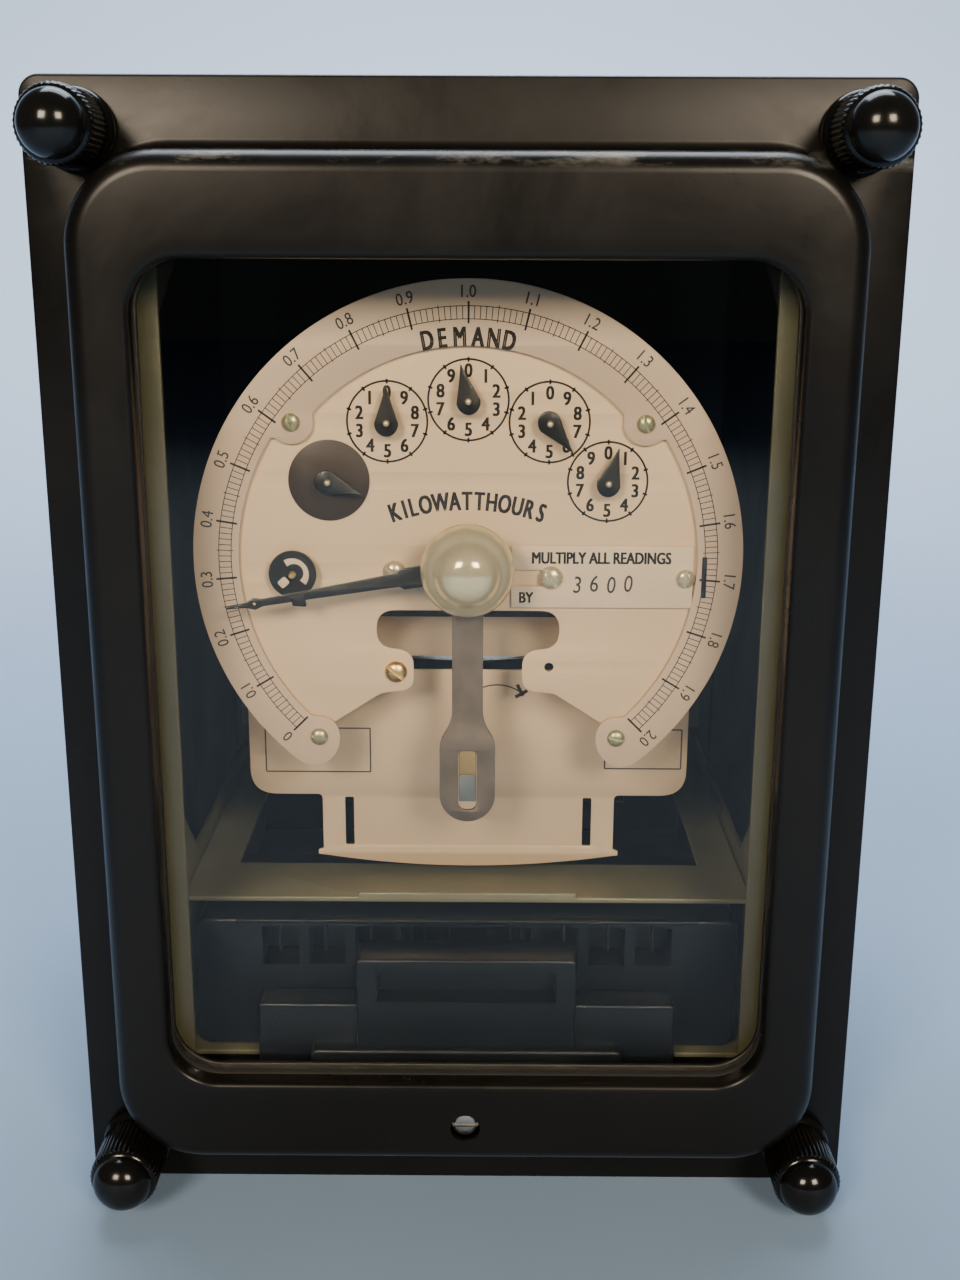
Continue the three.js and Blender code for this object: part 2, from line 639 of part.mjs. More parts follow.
// two stators: a laminated core astride the disk edge, a voltage coil above and a current coil below
const poleCentre = poleInner + poleWidth / 2;
function boxCoil(z0, z1, s) {
  const half = poleWidth / 2 + coilWall;
  const depth = coreDepth / 2 + coilWall;
  const clear = 0.4;
  const x = s * poleCentre;
  const bobbin = new THREE.Shape();
  bobbin.moveTo(x - half + 2, rotorY - depth);
  bobbin.lineTo(x + half - 2, rotorY - depth);
  bobbin.absarc(x + half - 2, rotorY - depth + 2, 2, -Math.PI / 2, 0);
  bobbin.absarc(x + half - 2, rotorY + depth - 2, 2, 0, Math.PI / 2);
  bobbin.absarc(x - half + 2, rotorY + depth - 2, 2, Math.PI / 2, Math.PI);
  bobbin.absarc(x - half + 2, rotorY - depth + 2, 2, Math.PI, Math.PI * 1.5);
  const body = new THREE.ExtrudeGeometry(bobbin, { depth: z1 - z0, bevelEnabled: false, curveSegments: 3 });
  body.translate(0, 0, z0);
  const reach = poleWidth / 2 + clear;
  return cut(body, block(x - reach, x + reach, rotorY - coreDepth / 2 - clear, rotorY + coreDepth / 2 + clear,
    z0 - 1, z1 + 1));
}
[['left', -1], ['right', 1]].forEach(([side, s]) => {
  const xs = (a, b) => (s > 0 ? [a, b] : [-b, -a]);
  const y0 = rotorY - coreDepth / 2;
  const y1 = rotorY + coreDepth / 2;
  piece(`stator_core_${side}`, join(
    block(...xs(coreOuter - poleWidth, coreOuter), y0, y1, coreBottom, coreTop),
    block(...xs(poleInner, coreOuter - 1), y0, y1, coreTop - limb, coreTop),
    block(...xs(poleInner, coreOuter - 1), y0, y1, coreBottom, coreBottom + limb),
    block(...xs(poleInner, poleInner + poleWidth), y0, y1, diskTop + airGap, coreTop - 1),
    block(...xs(poleInner, poleInner + poleWidth), y0, y1, coreBottom + 1, diskHeight - airGap)), lamination);
  piece(`voltage_coil_${side}`, boxCoil(diskTop + airGap + 1, coreTop - limb - 0.5, s), copper);
  piece(`current_coil_${side}`, boxCoil(coreBottom + limb + 0.5, diskHeight - airGap - 1, s), copper);
});

// ---- register: gear train behind the dials ----
// a spur outline: thin tapered teeth round a disc, one tooth centred on the top
function gearShape(teeth, pitchRadius, rootHalf, startAngle) {
  const outer = pitchRadius + toothHeight;
  const inner = pitchRadius - toothRoot;
  const shape = new THREE.Shape();
  for (let k = 0; k < teeth; k += 1) {
    const centre = Math.PI / 2 - startAngle - 2 * Math.PI * k / teeth;
    [[-rootHalf / inner, inner], [0, outer], [rootHalf / inner, inner]]
      .forEach(([turn, r], i) => {
        const x = r * Math.cos(centre - turn);
        const z = r * Math.sin(centre - turn);
        if (k === 0 && i === 0) shape.moveTo(x, z);
        else shape.lineTo(x, z);
      });
  }
  return shape;
}

const module = 2 * pitchDistance / (wheelTeeth + pinionLeaves);
const wheelRadius = module * wheelTeeth / 2;
const pinionRadius = module * pinionLeaves / 2;
const wheelY = (k) => firstWheelY + (4 - k) * wheelPitchY;
const arborFront = 11.4;
const arborBack = registerBack + registerPlate + 1.2;
const gearAt = (shape, y, x, z) => slab(shape, y, y + wheelThickness, 4).translate(x, 0, z);
// the bearing from one place to another, clockwise from the top
const bearingTo = ([x0, z0], [x1, z1]) => Math.atan2(x1 - x0, z1 - z0);

// each arbor takes its drive from the arbor on its right, through its wheel, and hands it on by its pinion
const wormPlace = [wormX, wormWheelZ];
const places = [0, 1, 2, 3, 4].map(dialPlace).concat([wormPlace]);
const wheelShape = (angle) => gearShape(wheelTeeth, wheelRadius, toothWidth / 2, angle);
const pinionShape = (angle) => gearShape(pinionLeaves, pinionRadius, toothWidth / 2, angle);
const halfLeaf = Math.PI / pinionLeaves;

function dialPointer(k) {
  const [x, z] = places[k];
  const shape = new THREE.Shape();
  const bulb = 2.2;
  const reach = dialRadius - 0.9;
  shape.absarc(0, 0, bulb, Math.PI * 0.9, Math.PI * 2.1);
  shape.lineTo(0.25, reach);
  shape.lineTo(-0.25, reach);
  const blade = slab(shape, arborFront + 0.2, arborFront + 1, 5).translate(x, 0, z);
  const collar = rodY(1.4, arborFront - 0.4, arborFront + 1.6, x, z, 10);
  const bore = rodY(arborRadius + runningGap / 2, arborFront - 1, arborFront + 3, x, z, 10);
  return turnAboutY(cut(join(blade, collar), bore), dialReadings[k], x, z);
}

dialNames.forEach((name, k) => {
  const [x, z] = places[k];
  const driver = places[k + 1];
  const solids = [rodY(arborRadius, arborFront, arborBack, x, z, 10),
    gearAt(wheelShape(bearingTo([x, z], driver)), wheelY(k), x, z),
    rodY(2.2, wheelY(k) - 0.5, wheelY(k) + wheelThickness + 0.5, x, z, 12)];
  if (k > 0) {
    // a gap between two leaves faces the tooth of the next wheel
    solids.push(gearAt(pinionShape(bearingTo([x, z], places[k - 1]) + halfLeaf), wheelY(k - 1), x, z));
  }
  piece(`${name}_arbor`, join(...solids), brass);
  piece(`${name}_pointer`, dialPointer(k), pointerBlack);
});

// the worm wheel arbor lies along Y, from the worm forward to the units wheel
const wormWheel = slab(gearShape(wormTeeth, wormWheelRadius, toothWidth / 2, 0),
  rotorY - 0.5, rotorY + 0.5, 4).translate(wormX, 0, wormWheelZ);
piece('worm_wheel_arbor', join(
  rodY(arborRadius, registerFront - 0.6, rotorY + 3, wormX, wormWheelZ, 10),
  wormWheel,
  gearAt(pinionShape(bearingTo(wormPlace, unitsPlace) + halfLeaf), wheelY(4), wormX, wormWheelZ)), brass);

// register frame: two plates on four pillars, bored for every arbor
const registerShape = () => {
  const shape = new THREE.Shape();
  shape.moveTo(-42, 132);
  shape.lineTo(42, 132);
  shape.lineTo(42, 166);
  shape.lineTo(18, 181);
  shape.lineTo(-18, 181);
  shape.lineTo(-42, 166);
  return shape;
};
const arborBores = places.map(([x, z]) => rodY(arborRadius + runningGap, registerFront - 2, registerBack + 4, x, z, 8));
const pillarPlaces = [[-49, 156], [49, 156], [-49, 134], [49, 134]];
const registerOuter = pillarPlaces.flatMap(([x, z]) => [
  rodY(2.4, registerFront, registerBack + registerPlate, x, z, 8),
  rodY(3.6, registerFront, registerFront + registerPlate, x, z, 12),
  rodY(3.6, registerBack, registerBack + registerPlate, x, z, 12),
  block(Math.min(x, Math.sign(x) * 40), Math.max(x, Math.sign(x) * 40), registerFront,
    registerFront + registerPlate, z - 3, z + 3),
  block(Math.min(x, Math.sign(x) * 40), Math.max(x, Math.sign(x) * 40), registerBack,
    registerBack + registerPlate, z - 3, z + 3)]);
const shaftBore = rodY(shaftRadius + runningGap, registerFront - 2, registerBack + 4, 0, pivotHeight, 14);
const indicatorBore = rodY(1.2 + runningGap, registerFront - 2, registerBack + 4, ...indicatorCentre, 12);
piece('register_frame', cut(
  join(
    slab(registerShape(), registerFront, registerFront + registerPlate),
    slab(registerShape(), registerBack, registerBack + registerPlate),
    ...registerOuter),
  ...arborBores, shaftBore, indicatorBore), brass);

// ---- plates ----
const disc = (radius, x, z) => {
  const shape = new THREE.Shape();
  shape.absarc(x, z, radius, 0, 2 * Math.PI);
  return shape;
};
const polar = (r, degrees) => {
  const angle = THREE.MathUtils.degToRad(degrees);
  return [r * Math.sin(angle), pivotHeight + r * Math.cos(angle)];
};
// an arc of the scale between two bearings and two radii
function sector(inner, outer, from, to) {
  const shape = new THREE.Shape();
  const a0 = Math.PI / 2 - THREE.MathUtils.degToRad(from);
  const a1 = Math.PI / 2 - THREE.MathUtils.degToRad(to);
  shape.absarc(0, pivotHeight, outer, a0, a1, true);
  shape.absarc(0, pivotHeight, inner, a1, a0, false);
  return shape;
}
const scaleBack = scaleFront + plateThickness;
const mirrored = ([x, z]) => [[x, z], [-x, z]];
const scaleLobes = [...mirrored(upperLobe), ...mirrored(lowerLobe)];
const scaleEnds = mirrored(polar((scaleRadius + scaleInner) / 2, scaleEndAngle));
piece('scale_plate', join(
  slab(sector(scaleInner, scaleRadius, -scaleEndAngle, scaleEndAngle), scaleFront, scaleBack, 30),
  slab(sector(scaleCrownInner, scaleInner + 0.5, -scaleCrownHalfAngle, scaleCrownHalfAngle), scaleFront, scaleBack, 14),
  ...scaleLobes.map(([x, z]) => slab(disc(lobeRadius, x, z), scaleFront, scaleBack, 12)),
  ...scaleEnds.map(([x, z]) => slab(disc((scaleRadius - scaleInner) / 2, x, z), scaleFront, scaleBack, 12))),
plateWhite);

const dialPlateFront = scaleBack + seamGap;
const dialPlateBack = dialPlateFront + plateThickness;
function throatShape() {
  const [lowX, lowZ] = lowerLobe;
  const shape = new THREE.Shape();
  shape.moveTo(-throatHalfWidth, windowCentre);
  shape.lineTo(-throatHalfWidth, centreLobe[1]);
  shape.lineTo(-throatHalfWidth - 1.6, centreLobe[1] - 4);
  shape.lineTo(-centreLobe[0] - 3, centreLobe[1] - 5);
  shape.lineTo(-lowX + 3.2, lowZ + 3.4);
  shape.lineTo(-lowX + 5.2, lowZ - 2);
  shape.lineTo(-lowX, lowZ - 20);
  shape.lineTo(-lowX, lowZ - 60);
  shape.lineTo(lowX, lowZ - 60);
  shape.lineTo(lowX, lowZ - 20);
  shape.lineTo(lowX - 5.2, lowZ - 2);
  shape.lineTo(lowX - 3.2, lowZ + 3.4);
  shape.lineTo(centreLobe[0] + 3, centreLobe[1] - 5);
  shape.lineTo(throatHalfWidth + 1.6, centreLobe[1] - 4);
  shape.lineTo(throatHalfWidth, centreLobe[1]);
  shape.lineTo(throatHalfWidth, windowCentre);
  return shape;
}
piece('dial_plate', cut(
  slab(disc(dialPlateRadius, 0, pivotHeight), dialPlateFront, dialPlateBack, 40),
  slab(roundedShape(-windowHalfWidth, windowHalfWidth, windowCentre - windowHalfHeight,
    windowCentre + windowHalfHeight, windowHalfHeight - 0.01), dialPlateFront - 1, dialPlateBack + 1, 8),
  slab(throatShape(), dialPlateFront - 1, dialPlateBack + 1),
  rodY(shaftRadius + 1, dialPlateFront - 1, dialPlateBack + 1, 0, pivotHeight, 14),
  rodY(2, dialPlateFront - 1, dialPlateBack + 1, ...indicatorCentre, 14),
  ...places.slice(0, 5).map(([x, z]) => rodY(arborRadius + 0.9, dialPlateFront - 1, dialPlateBack + 1, x, z, 8))),
plateWhite);

const cardBack = dialPlateFront - seamGap;
piece('multiplier_card', cut(
  block(cardLeft, cardLeft + cardWidth, cardBack - 0.6, cardBack, cardBottom, cardBottom + cardHeight),
  block(cardLeft - 1, cardLeft + 8, cardBack - 2, cardBack + 1, cardBottom + 4.6, cardBottom + 8.2),
  slab(sector(scaleInner - seamGap, scaleRadius, 60, 120), cardBack - 2, cardBack + 1, 12)), plateWhite);

// the nameplate hangs deeper, with the disk slot across it and a narrower neck below
function nameplateShape() {
  const shape = new THREE.Shape();
  const w = nameplateHalfWidth;
  const n = nameplateNeck;
  shape.moveTo(-w, nameplateTop);
  shape.lineTo(-w, nameplateShoulder + 6);
  shape.absarc(-w + 6, nameplateShoulder + 6, 6, Math.PI, Math.PI * 1.5);
  shape.lineTo(-n, nameplateShoulder);
  shape.lineTo(-n, nameplateBottom + 3.4);
  shape.lineTo(-n - 1.2, nameplateBottom + 2.6);
  shape.lineTo(-n * 0.5, nameplateBottom + 0.6);
  shape.lineTo(0, nameplateBottom);
  shape.lineTo(n * 0.5, nameplateBottom + 0.6);
  shape.lineTo(n + 1.2, nameplateBottom + 2.6);
  shape.lineTo(n, nameplateBottom + 3.4);
  shape.lineTo(n, nameplateShoulder);
  shape.lineTo(w - 6, nameplateShoulder);
  shape.absarc(w - 6, nameplateShoulder + 6, 6, -Math.PI / 2, 0);
  shape.lineTo(w, nameplateTop);
  return shape;
}
const slotCentre = diskHeight + diskThickness;
piece('nameplate', cut(
  slab(nameplateShape(), nameplateFront, nameplateBack, 5),
  block(-diskSlotHalfWidth, diskSlotHalfWidth, nameplateFront - 1, nameplateBack + 1,
    slotCentre - diskSlotHalfHeight, slotCentre + diskSlotHalfHeight),
  ...[-1, 1].map((s) => block(s * 27.4 - 1, s * 27.4 + 1, nameplateFront - 1, nameplateBack + 1, 69.5, 81.3))),
plateWhite);

// ---- demand indication ----
piece('pivot_dome', join(
  rodY(shaftRadius, domeBack - 1, registerBack + registerPlate + 1, 0, pivotHeight, 14),
  turnedY([[0, domeBack], [domeRadius, domeBack], [domeRadius, domeBack - 1.2], [domeRadius - 0.9, domeBack - 3.4],
    [domeRadius - 2.4, domeBack - 4.8], [6.2, domeBack - 5.6], [5.2, domeFront + 1.3], [3.2, domeFront + 0.4],
    [1.5, domeFront + 0.1], [0, domeFront]], 0, pivotHeight, 32)), nickel);

function demandPointerShape() {
  const shape = new THREE.Shape();
  shape.absarc(0, 0, 4.4, Math.PI * 0.72, Math.PI * 2.28);
  shape.lineTo(2.1, 14);
  shape.lineTo(1.1, 16.5);
  shape.lineTo(0.55, 43.5);
  shape.lineTo(1.05, 45.4);
  shape.lineTo(0.12, pointerLength);
  shape.lineTo(-0.12, pointerLength);
  shape.lineTo(-1.05, 45.4);
  shape.lineTo(-0.55, 43.5);
  shape.lineTo(-1.1, 16.5);
  shape.lineTo(-2.1, 14);
  return shape;
}
const pointerBack = pointerFront + pointerThickness;
const pointerBore = rodY(shaftRadius + runningGap, pointerFront - 2, pointerBack + 3, 0, pivotHeight, 14);
piece('demand_pointer', turnAboutY(cut(
  join(
    slab(demandPointerShape(), pointerFront, pointerBack, 10).translate(0, 0, pivotHeight),
    rodY(3.6, pointerFront - 1.2, pointerBack + 0.8, 0, pivotHeight, 14),
    block(-2.2, -0.5, pointerFront, pointerBack + 0.8, pivotHeight + 34.5, pivotHeight + 37)),
  pointerBore), pointerRest, 0, pivotHeight), pointerBlack);

// the reset arm hangs from the pivot; a slot runs up its wide round end
function resetArmShape() {
  const shape = new THREE.Shape();
  const half = resetArmWidth / 2;
  const wide = resetArmEnd / 2;
  const endCentre = -resetArmLength + wide;
  shape.absarc(0, 0, 4.8, -Math.PI * 0.28, Math.PI * 1.28);
  shape.lineTo(-half, -19);
  shape.lineTo(-half, -35.5);
  shape.lineTo(-wide, -39.5);
  shape.absarc(0, endCentre, wide, Math.PI, 2 * Math.PI);
  shape.lineTo(wide, -39.5);
  shape.lineTo(half, -35.5);
  shape.lineTo(half, -19);
  return shape;
}
const resetArmBack = resetArmFront + resetArmThickness;
const slotTop = pivotHeight - resetArmLength + 2.6 + resetSlotLength;
// a brass tongue fills the slot from its top, and stops short of its bottom
const tongueHalf = resetSlotWidth / 2 - 0.1;
piece('reset_arm', join(
  cut(
    slab(resetArmShape(), resetArmFront, resetArmBack, 10).translate(0, 0, pivotHeight),
    rodY(shaftRadius + runningGap, resetArmFront - 1, resetArmBack + 1, 0, pivotHeight, 14),
    slab(roundedShape(-resetSlotWidth / 2, resetSlotWidth / 2, slotTop - resetSlotLength, slotTop, 1.9),
      resetArmFront - 1, resetArmBack + 1, 4)),
  block(-tongueHalf, tongueHalf, resetArmFront + 0.3, resetArmBack, slotTop - resetTongueLength, slotTop + 0.6)),
zinc);

// the interval indicator turns on a spindle from the timing motor
const motorFront = registerBack + registerPlate + 2;
piece('interval_indicator', join(
  rodY(indicatorRadius, scaleFront - 1.6, scaleFront - 0.4, ...indicatorCentre, 24),
  rodY(1.2, scaleFront - 1, motorFront - seamGap, ...indicatorCentre, 12),
  rodY(0.8, scaleFront - 2.6, scaleFront - 1, ...indicatorCentre, 10)), pointerBlack);
piece('timing_motor', join(
  rodY(10, motorFront, motorFront + 18, indicatorCentre[0] + 4, indicatorCentre[1] + 16, 24),
  block(indicatorCentre[0] - 5, indicatorCentre[0] + 7, motorFront, motorFront + 3,
    indicatorCentre[1] - 5, indicatorCentre[1] + 16)), steel);

// origin: middle of the whole depth, on the line that the case and flange stand on
const frontmost = nutBack - nutLength - nutDomeHeight;
const rearmost = terminalBack + terminalStudLength;
part.position.set(0, -(frontmost + rearmost) / 2, 0);

export default part;
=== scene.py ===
"""Finishes a drawout-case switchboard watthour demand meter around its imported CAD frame."""

import json
import logging
import math
from dataclasses import dataclass, field
from enum import Enum
from typing import Callable, Iterable, Optional, Sequence

import bmesh
import bpy
import numpy as np
from mathutils import Matrix, Vector

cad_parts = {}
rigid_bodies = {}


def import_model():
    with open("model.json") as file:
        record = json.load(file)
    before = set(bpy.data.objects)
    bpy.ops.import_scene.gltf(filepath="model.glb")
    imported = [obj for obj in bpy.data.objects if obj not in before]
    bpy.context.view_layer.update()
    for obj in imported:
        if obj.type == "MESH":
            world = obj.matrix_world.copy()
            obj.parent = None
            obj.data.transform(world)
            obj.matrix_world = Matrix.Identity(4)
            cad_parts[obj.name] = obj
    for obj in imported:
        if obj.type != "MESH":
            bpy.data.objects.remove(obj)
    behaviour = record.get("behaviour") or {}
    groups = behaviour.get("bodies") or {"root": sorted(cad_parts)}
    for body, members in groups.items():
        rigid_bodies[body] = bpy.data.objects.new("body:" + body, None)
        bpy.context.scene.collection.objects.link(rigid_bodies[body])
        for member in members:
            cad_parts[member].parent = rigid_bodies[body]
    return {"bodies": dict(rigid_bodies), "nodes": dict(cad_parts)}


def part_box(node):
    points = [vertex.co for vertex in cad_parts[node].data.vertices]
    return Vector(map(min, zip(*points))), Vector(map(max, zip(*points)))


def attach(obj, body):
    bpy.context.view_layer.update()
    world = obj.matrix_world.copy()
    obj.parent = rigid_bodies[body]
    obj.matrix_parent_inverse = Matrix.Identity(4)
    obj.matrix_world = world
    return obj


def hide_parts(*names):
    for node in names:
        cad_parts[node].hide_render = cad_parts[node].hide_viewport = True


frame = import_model()
log = logging.getLogger("meter")

MM = 0.001
SEAM = 0.3
PRINT = 0.03
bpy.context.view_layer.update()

Mesh2D = np.ndarray
Parts = tuple[np.ndarray, list[tuple[int, ...]]]


# ---------------------------------------------------------------- places taken from the frame


@dataclass(frozen=True)
class Datum:
    """The front frame: millimetres, with depth counted back from the cover flange's front face."""

    front: float

    def to_row(self, points: np.ndarray) -> np.ndarray:
        """Turns front-frame millimetres into row-frame metres.

        Args:
            points: an array of x, depth, height rows in millimetres.

        Returns:
            The same points in metres: every value times MM, then depth shifted by the front plane.
        """
        rows = np.asarray(points, float).reshape(-1, 3) * MM
        rows[:, 1] += self.front
        return rows

    def box(self, node: str) -> np.ndarray:
        """Gives a CAD node's box in front-frame millimetres.

        Args:
            node: the CAD node's name.

        Returns:
            A 2 by 3 array, lowest corner then highest corner.
        """
        corners = np.array([list(c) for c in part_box(node)], float)
        corners[:, 1] -= self.front
        return corners / MM


DATUM = Datum(front=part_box("thumb_nut_top_left")[1].y + SEAM * MM)
MIDDLE = float(DATUM.box("cover_shell")[:, 2].mean())
PIVOT = float(DATUM.box("pivot_dome")[:, 2].mean())


def body_of(node: str) -> str:
    """Finds the CAD body that a node rides on.

    Args:
        node: the CAD node's name.

    Returns:
        The body's name.
    """
    parent = frame["nodes"][node].parent
    return next(name for name, empty in frame["bodies"].items() if empty == parent)


# ---------------------------------------------------------------- meshes


def make_object(name: str, parts: Parts, sharp: float = 35.0, merge: float = 1e-3) -> bpy.types.Object:
    """Makes a mesh object from front-frame points, with faces pointing outwards.

    Args:
        name: the piece's name.
        parts: vertices in millimetres and the faces' indices.
        sharp: edges bent more than this many degrees are shaded sharp.
        merge: points closer than this many millimetres are one point.

    Returns:
        The object, linked to the scene at the origin.
    """
    vertices, faces = parts
    mesh = bpy.data.meshes.new(name)
    mesh.from_pydata(vertices.tolist(), [], faces)
    shape = bmesh.new()
    shape.from_mesh(mesh)
    bmesh.ops.remove_doubles(shape, verts=shape.verts, dist=merge)
    bmesh.ops.dissolve_degenerate(shape, edges=shape.edges, dist=merge / 10)
    bmesh.ops.recalc_face_normals(shape, faces=shape.faces)
    shape.to_mesh(mesh)
    shape.free()
    flat = np.empty(len(mesh.vertices) * 3)
    mesh.vertices.foreach_get("co", flat)
    mesh.vertices.foreach_set("co", DATUM.to_row(flat).ravel())
    return link(name, mesh, sharp)


def link(name: str, mesh: bpy.types.Mesh, sharp: float = 35.0) -> bpy.types.Object:
    """Links a finished mesh to the scene as an object, smooth but for its sharp edges.

    Args:
        name: the piece's name.
        mesh: the mesh, already in the row frame.
        sharp: edges bent more than this many degrees are shaded sharp.

    Returns:
        The new object.
    """
    mesh.shade_smooth()
    mesh.set_sharp_from_angle(angle=math.radians(sharp))
    made = bpy.data.objects.new(name, mesh)
    bpy.context.scene.collection.objects.link(made)
    return made


def grid_faces(rows: int, columns: int, wrap_rows: bool = False, wrap_columns: bool = True) -> list:
    """Joins neighbours on a grid of points with four-sided faces.

    Args:
        rows: the number of rows of points.
        columns: the number of points in each row.
        wrap_rows: the last row joins the first.
        wrap_columns: the last column joins the first.

    Returns:
        The faces as lists of four indices.
    """
    r = np.arange(rows if wrap_rows else rows - 1)[:, None]
    c = np.arange(columns if wrap_columns else columns - 1)[None, :]
    near, far = r * columns, ((r + 1) % rows) * columns
    right = (c + 1) % columns
    return np.stack([near + c, near + right, far + right, far + c], -1).reshape(-1, 4).tolist()


def skin(grid: np.ndarray, ring: bool = False) -> Parts:
    """Closes a grid of points, whose columns run round, into one surface.

    Args:
        grid: rows by columns by 3, in millimetres.
        ring: the last row joins the first; otherwise both end rows are filled.

    Returns:
        The vertices and faces.
    """
    rows, columns = grid.shape[:2]
    faces = grid_faces(rows, columns, wrap_rows=ring)
    if not ring:
        faces.append(list(range(columns))[::-1])
        faces.append(list(range((rows - 1) * columns, rows * columns)))
    return grid.reshape(-1, 3), faces


def together(pieces: Iterable[Parts]) -> Parts:
    """Puts several meshes' arrays one after another.

    Args:
        pieces: vertices and faces of each mesh.

    Returns:
        The joined vertices and faces.
    """
    vertices, faces, start = [], [], 0
    for points, polygons in pieces:
        vertices.append(points)
        faces.extend([tuple(start + i for i in polygon) for polygon in polygons])
        start += len(points)
    return np.concatenate(vertices), faces


def rounded_rectangle(width: float, height: float, radius: float, steps: int = 10) -> Mesh2D:
    """Outline of a rectangle about the origin, each corner a quarter circle.

    Args:
        width: the whole width.
        height: the whole height.
        radius: the corner radius.
        steps: the number of chords in each corner.

    Returns:
        An array of x, z pairs, counterclockwise.
    """
    turn = np.linspace(0, np.pi / 2, steps + 1)
    angle = (np.arange(4)[:, None] * np.pi / 2 + turn).ravel()
    sign_x = np.repeat([1, -1, -1, 1], steps + 1)
    sign_z = np.repeat([1, 1, -1, -1], steps + 1)
    return np.stack(
        [
            sign_x * (width / 2 - radius) + radius * np.cos(angle),
            sign_z * (height / 2 - radius) + radius * np.sin(angle),
        ],
        -1,
    )


def stacked(rings: Sequence[Sequence[float]], centre: tuple[float, float], steps: int = 10) -> np.ndarray:
    """Grid through a stack of rounded rectangles that lie across the depth.

    Args:
        rings: width, height, corner radius and depth of each ring.
        centre: x and z of every ring's centre.
        steps: the number of chords in each corner.

    Returns:
        Rows by columns by 3 points.
    """
    table = np.asarray(rings, float)
    rows = []
    for width, height, radius, depth in table:
        flat = rounded_rectangle(width, height, radius, steps)
        rows.append(np.stack([flat[:, 0] + centre[0], np.full(len(flat), depth), flat[:, 1] + centre[1]], -1))
    return np.stack(rows)


def turned(
    profile: Sequence[Sequence[float]],
    centre: tuple[float, float],
    columns: int = 48,
    ripple: Optional[Callable[[np.ndarray], np.ndarray]] = None,
    rippled: slice = slice(0, 0),
) -> Parts:
    """Turned body: every profile point goes round an axis along the depth.

    A point is centre + radius times (cos, sin) of the angle, at the profile's depth.

    Args:
        profile: radius and depth pairs from one end to the other.
        centre: x and z of the axis.
        columns: the number of points round.
        ripple: gives what is added to the radius at each angle.
        rippled: the profile rows that take the ripple.

    Returns:
        The vertices and faces.
    """
    table = np.asarray(profile, float)
    angle = np.linspace(0, 2 * np.pi, columns, endpoint=False)
    radius = np.repeat(table[:, :1], columns, 1)
    if ripple is not None:
        radius[rippled] += ripple(angle)[None, :]
    grid = np.stack(
        [
            centre[0] + radius * np.cos(angle),
            np.repeat(table[:, 1:], columns, 1),
            centre[1] + radius * np.sin(angle),
        ],
        -1,
    )
    return skin(grid)


def quarter(radius: float, height: float, steps: int = 8) -> np.ndarray:
    """Quarter ellipse profile from the rim to the crown.

    Args:
        radius: its reach from the axis.
        height: its rise along the axis.
        steps: the number of chords.

    Returns:
        Radius and rise pairs: radius times cos, height times sin of a quarter turn.
    """
    angle = np.linspace(0, np.pi / 2, steps + 1)
    return np.stack([radius * np.cos(angle), height * np.sin(angle)], -1)


def filleted(points: Sequence[Sequence[float]], radii: Sequence[float] | float, steps: int = 6) -> Mesh2D:
    """Rounds the corners of a closed outline with arcs tangent to both sides.

    Args:
        points: the outline's corners.
        radii: one radius for every corner, or one for all.
        steps: the number of chords in each arc.

    Returns:
        The rounded outline.
    """
    corners = np.asarray(points, float)
    wanted = np.broadcast_to(np.asarray(radii, float), (len(corners),))
    before, after = np.roll(corners, 1, 0), np.roll(corners, -1, 0)
    to_before, to_after = before - corners, after - corners
    long_before = np.linalg.norm(to_before, axis=1)
    long_after = np.linalg.norm(to_after, axis=1)
    u, v = to_before / long_before[:, None], to_after / long_after[:, None]
    half = np.arccos(np.clip((u * v).sum(1), -1, 1)) / 2
    reach = np.minimum(wanted / np.tan(half), 0.49 * np.minimum(long_before, long_after))
    t = np.linspace(0, 1, steps + 1)[None, :, None]
    start, end = (corners + u * reach[:, None])[:, None], (corners + v * reach[:, None])[:, None]
    middle = corners[:, None]
    return ((1 - t) ** 2 * start + 2 * t * (1 - t) * middle + t**2 * end).reshape(-1, 2)


def evened(points: np.ndarray, step: float, blur: int) -> Mesh2D:
    """Spaces a closed outline's points evenly along it and softens its corners.

    Args:
        points: the outline.
        step: the distance from one point to the next.
        blur: the number of points averaged at each point.

    Returns:
        The new outline: places read off at equal lengths, then a running weighted mean round the loop.
    """
    closed = np.concatenate([points, points[:1]])
    length = np.concatenate([[0], np.cumsum(np.linalg.norm(np.diff(closed, axis=0), axis=1))])
    at = np.linspace(0, length[-1], int(length[-1] / step), endpoint=False)
    even = np.stack([np.interp(at, length, closed[:, k]) for k in (0, 1)], -1)
    weights = np.hanning(blur + 2)[1:-1]
    shifts = np.arange(blur) - blur // 2
    return sum(w * np.roll(even, -k, 0) for w, k in zip(weights / weights.sum(), shifts))


def circle(radius: float, centre: tuple[float, float] = (0, 0), steps: int = 48) -> Mesh2D:
    """Outline of a circle, counterclockwise."""
    angle = np.linspace(0, 2 * np.pi, steps, endpoint=False)
    return np.stack([centre[0] + radius * np.cos(angle), centre[1] + radius * np.sin(angle)], -1)


def polar(radius: np.ndarray | float, degrees: np.ndarray | float, centre: float = 0.0) -> np.ndarray:
    """Points at a radius and a clockwise bearing from straight up."""
    angle = np.radians(degrees)
    return np.stack(np.broadcast_arrays(radius * np.sin(angle), centre + radius * np.cos(angle)), -1)


def turn_flat(points: np.ndarray, degrees: float) -> np.ndarray:
    """Turns x, z pairs clockwise about the origin."""
    c, s = math.cos(math.radians(degrees)), math.sin(math.radians(degrees))
    return points @ np.array([[c, -s], [s, c]])


